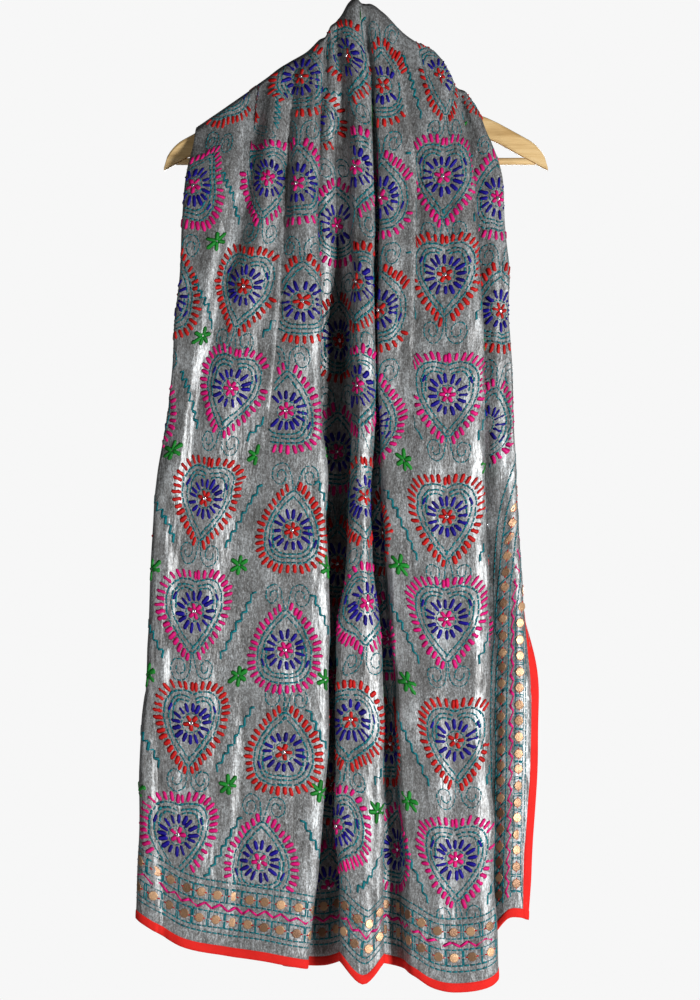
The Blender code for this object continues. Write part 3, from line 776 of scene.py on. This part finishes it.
def makeTapes(fall, fold, tape):
    # bindings of one fall: hem, left and right
    inFrom, share = (np.array(bindingSwell[key]) for key in ("place", "share"))
    inFrom = inFrom * bindingLook["width"]
    levels = np.stack([levelAbove(fall, fold, distance) for distance in inFrom[::-1]])
    grid = fall.at(levels, np.broadcast_to(fold, levels.shape))
    wall = bindingLook["wall"] * share[:, None]
    tapes = [shell(f"binding_{fall.name}_hem_tape", grid, wall, tape, "binding")]
    levels = np.linspace(0, hemLevel, bindingLook["sideRows"])
    wall = (bindingLook["wall"] + bindingLook["sideExtra"]) * share
    for side, fromRight in (("left", False), ("right", True)):
        places = np.stack([foldFrom(fall, levels, distance, fromRight) for distance in inFrom], axis=1)
        if fromRight:
            places = places[:, ::-1]
        grid = fall.at(np.broadcast_to(levels[:, None], places.shape), places)
        tapes.append(shell(f"binding_{fall.name}_{side}_tape", grid, wall, tape, "binding"))
    return tapes


clothMaterial, redTape = clothFinish(), bindingFinish()
frontBody, frontColumns = makeBody(front, clothMaterial)
frontTapes = makeTapes(front, frontColumns, redTape)
backBody, backColumns = makeBody(back, clothMaterial)
backTapes = makeTapes(back, backColumns, redTape)
print("stage: cloth and bindings made")


# stitches
# A stitch is a row of numbers: start x and y, end x and y, width, height, all in mm on the flat cloth

satinHigh, runHigh = 1.5, 0.8
# along the stitch: place, share of the width, share of the height
satinForm = ((0.0, 0.42, 0.25), (0.17, 0.95, 0.88), (0.83, 0.95, 0.88), (1.0, 0.42, 0.25))
barForm = ((0.0, 1.0, 0.6), (1.0, 1.0, 0.6))
# running stitches: length, gap and width
outlineRun, dotRun = (5.0, 0.9, 2.9), (4.2, 1.8, 2.0)
scrollRun, borderRun = (4.6, 1.1, 2.1), (5.2, 1.0, 2.7)
# cloth that is squeezed to less than this share lies in a tuck, and shows no stitch or disc
leastSpread = 0.5


def stitchTable(*columns):
    # one row a stitch; a single number stands for its whole column
    return np.column_stack(np.broadcast_arrays(*columns))


def stitchesToMesh(fall, stitches, stations, shade):
    # satin stitches are blunt mounds of four sections, running stitches are low bars of two
    start, end = stitches[:, 0:2], stitches[:, 2:4]
    width, height = stitches[:, 4:5], stitches[:, 5:6]
    size = np.linalg.norm(end - start, axis=1, keepdims=True)
    way = unit(end - start, 1e-6)
    side = np.column_stack((-way[:, 1], way[:, 0]))
    flat, rise, uv = [], [], []
    for t, wide, tall in stations:
        centre = start + way * size * t
        for s in (-1, 0, 1):
            flat.append(centre + side * width / 2 * wide * s)
            rise.append(height * tall if s == 0 else height * 0.05 - 0.25)
            uv.append((0.5 + s * 0.5 * wide, t))
    flat, rise = np.stack(flat, axis=1), np.stack(rise, axis=1)
    laid = fall.onCloth(flat[..., 0], flat[..., 1])
    # what falls into a tuck, spans one, or lies beyond the ridge or a selvedge isn't shown
    across = flat[..., 0]
    inside = fall.below(flat, 1.5) & (across > 0.5) & (across < flatCloth["width"] - 0.5)
    ends = np.linalg.norm(laid[:, 0, :3] - laid[:, -1, :3], axis=1)
    keep = inside.all(axis=1) & (laid[..., 6].min(axis=1) > leastSpread)
    keep &= ends < size[:, 0] * 1.6 + 1.0
    laid, rise = laid[keep], rise[keep]
    points = laid[..., :3] + unit(laid[..., 3:6]) * (rise + flatCloth["wall"] / 2)
    count, each = points.shape[:2]
    rings = np.arange(each).reshape(-1, 3)
    quads = []
    for (a, b, c), (d, e, f) in zip(rings[:-1], rings[1:]):
        quads += [(a, b, e, d), (b, c, f, e), (c, a, d, f)]
    tris = [rings[0][::-1], rings[-1]]
    # every stitch has its own stretch of the strands' pattern
    uv = np.array(uv)[None] + np.arange(count)[:, None, None] * (0.0, 1.7)
    return (points.reshape(-1, 3), repeated(quads, count, each), repeated(tris, count, each),
            uv.reshape(-1, 2), np.repeat(shade[keep], each))


def joinParts(parts):
    starts = np.cumsum([0] + [len(part[0]) for part in parts])
    moved = [(p, quads + n, tris + n, uv, tone) for (p, quads, tris, uv, tone), n in zip(parts, starts)]
    return [np.concatenate(column) for column in zip(*moved)]


def runLine(path, run):
    # running stitches of one length along a path of flat places, with a gap between them
    stitch, gap, width = run
    lengths = lengthsAlong(path, 0)
    count = max(1, int(round(lengths[-1] / (stitch + gap))))
    begin = np.arange(count) * lengths[-1] / count
    stop = begin + lengths[-1] / count * stitch / (stitch + gap)
    return stitchTable(*alongPath(path, lengths, begin).T, *alongPath(path, lengths, stop).T, width, runHigh)


motifLook = {
    # right half of the leaf outline about the flower's centre, point down: with a notch, and without one
    "notched": ((0.0, 33.0), (6.0, 35.3), (14.0, 36.0), (22.5, 33.5), (29.5, 26.0), (33.5, 14.0), (33.2, 1.5),
                (29.5, -10.5), (23.0, -21.5), (15.5, -31.5), (7.5, -40.5), (0.0, -48.5)),
    "round": ((0.0, 37.5), (8.0, 37.2), (16.0, 35.3), (24.0, 30.5), (29.3, 22.5), (31.6, 11.0), (30.8, -1.5),
              (27.0, -13.0), (21.0, -23.5), (14.0, -32.5), (6.8, -40.0), (0.0, -45.5)),
    "secondLine": 5.6, "thirdLine": 10.2, "thirdShare": 0.3,
    "ringGap": 1.8, "ringStitch": 10.6, "ringWidth": 5.4, "ringPitch": 6.5, "ringFan": 8.0,
    "petals": 16, "petalIn": 12.4, "petalOut": 24.0, "petalWidth": 5.1, "dotRing": 10.9,
    # a lone stitch at each shoulder: both ends, width
    "lone": (24.5, 19.0, 28.0, 9.5, 3.7),
    "flowerPetals": 6, "flowerIn": 1.9, "flowerOut": 9.6, "flowerWidth": 5.6,
    "scrollAt": (15.0, -16.0), "scrollRadius": 14.0, "scrollTurns": 1.6,
    "starAt": (53.0, 47.0), "starRadius": 12.6, "starWidth": 6.4,
    "stairsAt": (54.0, -25.0), "stairsSize": (40.0, 66.0), "stairsSteps": 7, "stairsStitch": (3.4, 1.2),
}


def closedOutline(half, rng):
    # smooth leaf outline: its right half, mirrored, each half a little wider or narrower
    half = np.array(half)
    wide = 1 + rng.uniform(-0.05, 0.05, 2)
    ring = np.concatenate((half * (wide[0], 1), half[-2::-1] * (-wide[1], 1)))
    dense = np.linspace(0, len(ring) - 1, 4 * (len(ring) - 1) + 1)
    return smoothRows(np.arange(len(ring)), ring, dense)


def inset(path, distance):
    # path moved towards its inside by a distance, measured square to it
    step = unit(np.gradient(path, axis=0), 1e-6)
    return path + np.column_stack((step[:, 1], -step[:, 0])) * distance


def spokes(angle, near, far, width):
    # satin stitches that point away from a centre, from one radius to another
    way = np.column_stack((np.cos(angle), np.sin(angle)))
    return stitchTable(*(way * near).T, *(way * far).T, width, satinHigh * 0.95)


def leafLines(outer, rng):
    # running stitches: two whole lines, a third beside the notch or crown, a ring of dots and two scrolls
    look = motifLook
    inner, third = inset(outer, look["secondLine"]), inset(outer, look["thirdLine"])
    cut = int(len(outer) * look["thirdShare"])
    lines = [runLine(path, outlineRun) for path in (outer, inner, third[:cut], third[-cut:])]
    angle = np.linspace(0, 2 * math.pi, 30)
    lines.append(runLine(look["dotRing"] * np.column_stack((np.cos(angle), np.sin(angle))), dotRun))
    tip = outer[len(outer) // 2]
    t = np.linspace(0, 1, 40)
    turn = math.pi + t * look["scrollTurns"] * 2 * math.pi
    for side in (-1, 1):
        # scroll: from the tip round and inwards, its radius shrinking evenly with the angle
        radius = look["scrollRadius"] * rng.uniform(0.9, 1.06) * (1 - 0.74 * t)
        centre = tip + np.array(look["scrollAt"]) + rng.uniform(-1.5, 1.5, 2)
        scroll = centre + radius[:, None] * np.column_stack((0.86 * np.cos(turn), 1.1 * np.sin(turn)))
        lines.append(runLine(np.vstack((tip + (1.2, -1.0), scroll)) * (side, 1), scrollRun))
    return np.vstack(lines)


def satinRing(outer, rng):
    # satin stitches just outside the outline, fanning from a point above the centre
    look = motifLook
    path = inset(outer, -look["ringGap"])
    lengths = lengthsAlong(path, 0)
    count = int(lengths[-1] / look["ringPitch"])
    where = (np.arange(count) + 0.5) * lengths[-1] / count
    foot, square = (alongPath(line, lengths, where) for line in (path, inset(path, -1.0) - path))
    outward = unit(unit(foot - (0.0, look["ringFan"])) * 0.75 + square * 0.25)
    size = look["ringStitch"] * rng.uniform(0.85, 1.12, (count, 1))
    ring = stitchTable(*foot.T, *(foot + outward * size).T, look["ringWidth"], satinHigh)
    # two of them would cross at the point
    tip = outer[len(outer) // 2]
    return ring[np.linalg.norm(foot - tip - (0, -look["ringGap"]), axis=1) > 3.0]


def flowerStitches(rng):
    # the dark petals with a lone stitch on both sides, and the small flower in the middle
    look = motifLook
    count = look["petals"] - int(rng.integers(0, 2))
    angle = (np.arange(count) + rng.uniform(-0.12, 0.12, count)) * 2 * math.pi / count
    near = look["petalIn"] + rng.uniform(-0.8, 0.8, (count, 1))
    far = look["petalOut"] + rng.uniform(-1.4, 1.4, (count, 1))
    petals = spokes(angle, near, far, look["petalWidth"])
    x0, y0, x1, y1, width = look["lone"]
    side = np.array((-1, 1))
    lone = stitchTable(side * x0, y0, side * x1, y1, width, satinHigh * 0.9)
    count = look["flowerPetals"] - int(rng.integers(0, 2))
    angle = (np.arange(count) + rng.uniform(0, 1)) * 2 * math.pi / count
    flower = spokes(angle, look["flowerIn"], look["flowerOut"], look["flowerWidth"])
    return np.vstack((petals, lone)), flower


def besideStitches(rng):
    # a star and a stair-step line on both sides
    look = motifLook
    wide, tall = look["stairsSize"]
    steps = look["stairsSteps"]
    number = np.arange(2 * steps + 1)
    stair = np.column_stack(((number + 1) // 2 / steps * wide, -(number // 2) / steps * tall))
    stair = (stair - (wide / 2, -tall / 2)) * (-1, 1) + look["stairsAt"]
    stars, stairs = [], []
    for side in (-1, 1):
        angle = (np.arange(6) + 0.5) * math.pi / 3 + rng.uniform(-0.2, 0.2)
        star = spokes(angle, 1.0, look["starRadius"] * rng.uniform(0.85, 1.1, (6, 1)), look["starWidth"])
        star[:, :4] += np.tile(np.array(look["starAt"]) * (side, 1) + rng.uniform(-3, 3, 2), 2)
        stars.append(star)
        corner = stair * (side, 1) + rng.uniform(-0.8, 0.8, stair.shape)
        stairs.append(stitchTable(*corner[:-1].T, *corner[1:].T, *look["stairsStitch"]))
    return np.vstack(stars), np.vstack(stairs)


def motifStitches(turned, rng):
    # one motif about its flower's centre, point down: a table of stitches for each thread
    outer = closedOutline(motifLook["round" if turned else "notched"], rng)
    motif = {"teal": leafLines(outer, rng), "ring": satinRing(outer, rng)}
    motif["navy"], motif["flower"] = flowerStitches(rng)
    motif["green"], motif["stairs"] = besideStitches(rng)
    return motif


# heights (mm) of the flowers' centres on the front's nine columns: columns that point down, then up
pointDown = {
    1: (-57, -183, -308, -425, -550, -678, -805, -932), 3: (-45, -176, -302, -424, -550, -682, -808, -928),
    5: (-40, -169, -302, -421, -548, -669, -801, -923), 7: (-64, -181, -295, -432, -571, -687, -825, -960),
}
pointUp = {
    0: (-76, -192, -320, -450, -580, -705, -835, -960), 2: (-64, -189, -325, -450, -586, -722, -838, -962),
    4: (-105, -235, -367, -496, -626, -755, -880, -999), 6: (-75, -205, -335, -462, -589, -711, -832, -954),
    8: (-75, -205, -335, -466, -580, -711, -835, -955),
}
# how far (mm) single motifs of the front stand off their column's line
offLine = {
    1: (0, 0, -6, 2, -3, -3, 1, -6), 2: (0, 0, 8, -5, 8, 4, 7, -12), 5: (0, 0, 0, 0, 0, 7, -6, -16),
    6: (0, 0, 0, 0, 0, 0, 0, 10), 7: (0, 0, 1, 4, 3, 0, 7, 2),
}
# the back's motifs: height of the lowest, how much lower the other columns start, step, number
backRows = {"lowest": 138.0, "lower": 31.0, "step": 128.0, "count": 9}


def leanAt(fall, u, v):
    # how far the cloth's cross direction climbs along its long direction at a flat place
    reach = 12.0
    step = reach * np.array(((-1, 0), (1, 0), (0, -1), (0, 1)))
    probe = fall.onCloth(u + step[:, 0], v + step[:, 1])[:, :3]
    across, upward = (probe[1] - probe[0]) / (2 * reach), (probe[3] - probe[2]) / (2 * reach)
    length = np.linalg.norm(upward)
    return float(np.clip(np.dot(across, upward) / max(length, 1e-6) ** 2, -0.6, 0.6))


def carried(local, u, v, turned, lean):
    # local stitches at a flat place, half a turn for the columns that point up; the lean keeps them square
    sign = -1.0 if turned else 1.0
    moved = local.copy()
    for k in (0, 2):
        moved[:, k] = u + local[:, k] * sign
        moved[:, k + 1] = v + local[:, k + 1] * sign - lean * local[:, k] * sign
    return moved


def motifPlaces(fall):
    # flat place, turned or not, and colour of every motif
    result = []
    for table, turned in ((pointDown, False), (pointUp, True)):
        for column, heights in table.items():
            u = flatCloth["firstColumn"] + flatCloth["pitch"] * column
            if fall.name == "front":
                for n, (z, off) in enumerate(zip(heights, offLine.get(column, (0,) * len(heights)))):
                    result.append((u + off, fall.heightOf(u + off, z), turned, n % 2))
            else:
                lowest = backRows["lowest"] - backRows["lower"] * turned
                for n in range(backRows["count"]):
                    result.append((u, lowest + n * backRows["step"], not turned, (n + 1) % 2))
    return result


def jitter(stitches, rng, move=0.5, stray=0.35):
    shifted = stitches.copy()
    shift = rng.uniform(-move, move, (len(stitches), 2))
    for k in (0, 2):
        shifted[:, k:k + 2] += shift + rng.uniform(-stray, stray, (len(stitches), 2))
    shifted[:, 4] *= rng.uniform(0.88, 1.12, len(stitches))
    return shifted


borderLook = {
    "lines": (24.0, 30.0, 47.5, 60.0, 76.0, 83.0), "ladders": ((30.0, 47.5), (60.0, 76.0)),
    "barGap": 1.9, "barWidth": 2.2, "pitch": 18.6, "mirrorRows": (38.8, 68.0),
    # the zigzag's middle, swing and period, and its stitches' width and height
    "zigzag": (53.8, 2.9, 17.8), "zigzagStitch": (3.6, 1.2),
    # the ties at both sides of a mirror: near and far end, width, height
    "tie": (3.7, 6.8, 2.2, 1.0),
}
mirrorForm = {"radius": 5.4, "height": 0.35, "sides": 10, "dome": 0.12}
sequinForm = {"radius": 2.1, "height": 1.5, "sides": 8, "dome": 0.4}


def borderStitches(length, start, rng):
    # one straight border as (along, in from the edge): lines, ladder bars, zigzag, mirrors and their ties
    look = borderLook
    teal, ties, mirrors = [], [], []
    for distance in look["lines"]:
        wander = np.linspace(start, length, int(length / 40) + 2)
        path = np.column_stack((wander, distance + rng.uniform(-0.7, 0.7, len(wander))))
        teal.append(runLine(path, borderRun))
    cells = np.arange(start + 6.0, length, look["pitch"])
    cells = cells + rng.uniform(-0.8, 0.8, len(cells))
    for low, high in look["ladders"]:
        apart = look["barGap"] * rng.uniform(0.3, 1.3, len(cells))
        middle = (low + high) / 2
        for offset in (-apart / 2, apart / 2):
            for a, b in ((low + 0.6, middle - 0.6), (middle + 0.6, high - 0.6)):
                x = cells + offset + rng.uniform(-0.4, 0.4, len(cells))
                slant = rng.uniform(-0.4, 0.4, len(cells))
                teal.append(stitchTable(x, a, x + slant, b, look["barWidth"], runHigh))
    middle, swing, period = look["zigzag"]
    x = np.arange(start, length, period / 2)
    y = middle + swing * np.where(np.arange(len(x)) % 2, 1, -1) + rng.uniform(-0.6, 0.6, len(x))
    x = x + rng.uniform(-0.7, 0.7, len(x))
    zigzag = stitchTable(x[:-1], y[:-1], x[1:], y[1:], *look["zigzagStitch"])
    near, far, width, height = look["tie"]
    for distance in look["mirrorRows"]:
        x = cells[:-1] + look["pitch"] / 2 + rng.uniform(-0.8, 0.8, len(cells) - 1)
        y = distance + rng.uniform(-0.5, 0.5, len(x))
        mirrors.append(np.column_stack((x, y)))
        for side in (-1, 1):
            tilt = rng.uniform(-0.8, 0.8, len(x))
            ties.append(stitchTable(x + side * near, y + tilt, x + side * far, y - tilt, width, height))
    return {"teal": np.vstack(teal), "pink": zigzag, "ties": np.vstack(ties), "mirrors": np.vstack(mirrors)}


def borderOnEdge(table, edge):
    # border coordinates (along, in) to flat places: along the hem, or up one selvedge
    if edge == "hem":
        return table
    moved = table.copy()
    for k in range(0, min(4, table.shape[1]), 2):
        inward = table[:, k + 1]
        moved[:, k] = inward if edge == "left" else flatCloth["width"] - inward
        moved[:, k + 1] = table[:, k]
    return moved


def discs(fall, places, shade, radius, height, sides, dome):
    # low domed discs lying on the cloth: a ring below, a ring above and a raised middle
    angle = np.arange(sides) * 2 * math.pi / sides
    ring = np.column_stack((np.cos(angle), np.sin(angle)))
    centre = fall.onCloth(places[:, 0], places[:, 1])
    keep = (centre[:, 6] > leastSpread) & fall.below(places, radius + 1)
    places, centre = places[keep][:, None, :], centre[keep][:, None, :]
    flat = places + ring[None] * radius
    centre, direction = centre[..., :3], unit(centre[..., 3:6])
    # a stiff disc stays flat: its rim keeps to the plane through its middle
    laid = fall.onCloth(flat[..., 0], flat[..., 1])[..., :3] - centre
    sunk = (laid * direction).sum(axis=2, keepdims=True)
    spread = unit(laid - direction * sunk, 1e-6) * radius
    # where the cloth turns a fold the disc bends with it
    spread = np.where(np.abs(sunk).max(axis=1, keepdims=True) > 1.6, laid, spread)
    base = flatCloth["wall"] / 2
    top = base + height
    low, high = centre + spread + direction * (base - 0.4), centre + spread + direction * top
    inner = centre + spread * 0.86 + direction * (top + dome * 0.4)
    points = np.concatenate((low, high, inner, centre + direction * (top + dome)), axis=1)
    count, each = points.shape[:2]
    k = np.arange(sides)
    after = (k + 1) % sides
    wall = np.column_stack((k, after, after + sides, k + sides))
    upper = np.column_stack((k + 2 * sides, after + 2 * sides, np.full(sides, 3 * sides)))
    under = np.column_stack((np.zeros(sides - 2, int), k[2:], k[1:-1]))
    quads, tris = np.concatenate((wall, wall + sides)), np.concatenate((upper, under))
    uv = np.concatenate((flat, flat, flat, places), axis=1) * mm
    return (points.reshape(-1, 3), repeated(quads, count, each), repeated(tris, count, each),
            uv.reshape(-1, 2), np.repeat(shade[keep], each))


threads = {
    "red": threadFinish("red_floss", (0.26, 0.004, 0.004), (0.60, 0.014, 0.012)),
    "pink": threadFinish("pink_floss", (0.36, 0.003, 0.095), (0.74, 0.008, 0.200)),
    "navy": threadFinish("navy_floss", (0.004, 0.002, 0.080), (0.012, 0.006, 0.290)),
    "green": threadFinish("green_floss", (0.004, 0.080, 0.008), (0.018, 0.29, 0.035)),
    "teal": threadFinish("teal_floss", (0.002, 0.060, 0.078), (0.006, 0.215, 0.250)),
}
foil, silver = mirrorFinish(), sequinFinish()


def embroider(fall, seed):
    rng = np.random.default_rng(seed)
    satin = {colour: [] for colour in threads}
    running = {colour: [] for colour in threads}
    border, width = borderLook["lines"][-1], flatCloth["width"]
    sequins, mirrors, pieces = [], [], []

    def clear(table):
        # motifs keep clear of the borders
        x, y = (table[:, 0] + table[:, 2]) / 2, (table[:, 1] + table[:, 3]) / 2
        return table[(x > border + 3) & (x < width - border - 3) & (y > border + 2)]

    for u, v, upright, colour in motifPlaces(fall):
        roundLeaf = upright != (fall.name == "back")
        local, lean = motifStitches(roundLeaf, rng), leanAt(fall, u, v)
        local = {key: clear(carried(jitter(table, rng), u, v, upright, lean)) for key, table in local.items()}
        satin[("red", "pink")[colour]] += [local["ring"], local["flower"]]
        satin["navy"].append(local["navy"])
        running["teal"].append(local["teal"])
        if not roundLeaf:
            satin["green"].append(local["green"])
            running["teal"].append(local["stairs"])
        sequins.append((u, v))
    top, sideStart = fall.up[-1], borderLook["lines"][0]
    for edge, length, start in (
        ("hem", width - border, border), ("left", top, sideStart), ("right", top, sideStart),
    ):
        laid = {key: borderOnEdge(table, edge) for key, table in borderStitches(length, start, rng).items()}
        running["teal"].append(laid["teal"])
        running["pink"].append(laid["pink"])
        satin["red"].append(laid["ties"])
        mirrors.append(laid["mirrors"])
    for colour, finish in threads.items():
        parts = []
        for tables, form in ((satin[colour], satinForm), (running[colour], barForm)):
            if tables:
                table = np.vstack(tables)
                shade = np.clip(rng.normal(0.5, 0.22, len(table)), 0, 1)
                parts.append(stitchesToMesh(fall, table, form, shade))
        pieces.append(addMesh(f"stitches_{colour}_{fall.name}", finish, *joinParts(parts)))
    mirrors, sequins = np.vstack(mirrors), np.array(sequins)
    for kind, places, form, finish in (
        ("foil_mirrors", mirrors, mirrorForm, foil), ("sequins", sequins, sequinForm, silver),
    ):
        made = discs(fall, places, rng.uniform(0, 1, len(places)), **form)
        pieces.append(addMesh(f"{kind}_{fall.name}", finish, *made))
    for piece in pieces:
        print("stage:", piece.name, len(piece.data.polygons), "faces")
    return pieces


frontWork = embroider(front, 101)
backWork = embroider(back, 202)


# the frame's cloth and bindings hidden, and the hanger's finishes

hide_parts("cloth_front_fall")
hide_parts("cloth_back_fall")
for side, tapes in (("front", frontTapes), ("back", backTapes)):
    for part, tape in zip(("hem", "left", "right"), tapes):
        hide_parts(f"binding_{side}_{part}")
wood, wire = woodFinish(), hookFinish()
for name, finish in (("hanger_arms", wood), ("hanger_bar", wood), ("hanger_hook", wire)):
    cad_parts[name].data.materials.clear()
    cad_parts[name].data.materials.append(finish)
print("stage: hanger finished")


# floor, light and camera

studio = {
    "background": 0.93, "ambient": 0.035, "floorZ": -1.37, "floorRadius": 1.0, "floorSides": 96,
    "cameraDistance": 2.8, "viewHeight": 1.14, "sensor": 36.0, "centre": (-0.0068, -0.05, -0.5518),
}
# where each light stands, what it points at, size (m) and power (W)
lamps = {
    "key": ((1.7, -1.9, -0.8), (0.0, 0.0, -0.8), 0.45, 85.0),
    "fill": ((-1.9, -1.8, -0.8), (0.0, 0.0, -0.8), 0.7, 13.0),
    "behind": ((0.5, 2.5, -0.1), (0.0, 0.0, -0.55), 1.6, 60.0),
}


def makeFloor():
    sides = studio["floorSides"]
    angle = np.arange(sides) * 2 * math.pi / sides
    points = np.column_stack((np.cos(angle), np.sin(angle), 0 * angle)) * studio["floorRadius"]
    points[:, 2] += studio["floorZ"]
    mesh = bpy.data.meshes.new("floor")
    mesh.from_pydata(points.tolist(), [], [list(range(sides))])
    finish = Finish("pale_floor", Roughness=0.8)
    speck = finish.noise(finish.objectPlace(), 3.0, 0.6, 14.0)
    mesh.materials.append(finish.done(finish.mix(speck, (0.80, 0.79, 0.78), (0.86, 0.855, 0.845))))
    floor = bpy.data.objects.new("floor", mesh)
    bpy.context.collection.objects.link(floor)


def makeLight(name, place, target, size, power):
    light = bpy.data.lights.new(name, "AREA")
    light.energy, light.size = power, size
    lamp = bpy.data.objects.new(name, light)
    way = unit(np.array(target) - np.array(place))
    lamp.location = place
    lamp.rotation_euler = (math.acos(-way[2]), 0.0, math.atan2(way[1], way[0]) - math.pi / 2)
    bpy.context.collection.objects.link(lamp)


def makeSky():
    # the backdrop is white, and the light that it gives is weaker
    world = bpy.data.worlds.new("plain_studio")
    bpy.context.scene.world = world
    world.use_nodes = True
    tree = world.node_tree
    sky = tree.nodes["Background"]
    rays = tree.nodes.new("ShaderNodeLightPath")
    level = tree.nodes.new("ShaderNodeMapRange")
    level.inputs["To Min"].default_value = studio["ambient"]
    level.inputs["To Max"].default_value = studio["background"]
    tree.links.new(rays.outputs["Is Camera Ray"], level.inputs["Value"])
    tree.links.new(level.outputs["Result"], sky.inputs["Strength"])
    sky.inputs["Color"].default_value = (1.0, 1.0, 1.0, 1.0)


def makeCamera():
    lens = bpy.data.cameras.new("camera")
    lens.sensor_fit = "VERTICAL"
    lens.sensor_height = studio["sensor"]
    lens.lens = studio["sensor"] * studio["cameraDistance"] / studio["viewHeight"]
    lens.clip_start, lens.clip_end = 0.05, 30.0
    lens.dof.use_dof = False
    camera = bpy.data.objects.new("camera", lens)
    x, y, z = studio["centre"]
    camera.location = (x, y - studio["cameraDistance"], z)
    camera.rotation_euler = (math.pi / 2, 0.0, 0.0)
    bpy.context.collection.objects.link(camera)
    bpy.context.scene.camera = camera


makeFloor()
for name, lamp in lamps.items():
    makeLight(name, *lamp)
makeSky()
makeCamera()
bpy.context.scene.view_settings.view_transform = "Standard"
print("stage: studio ready")

bpy.context.view_layer.update()
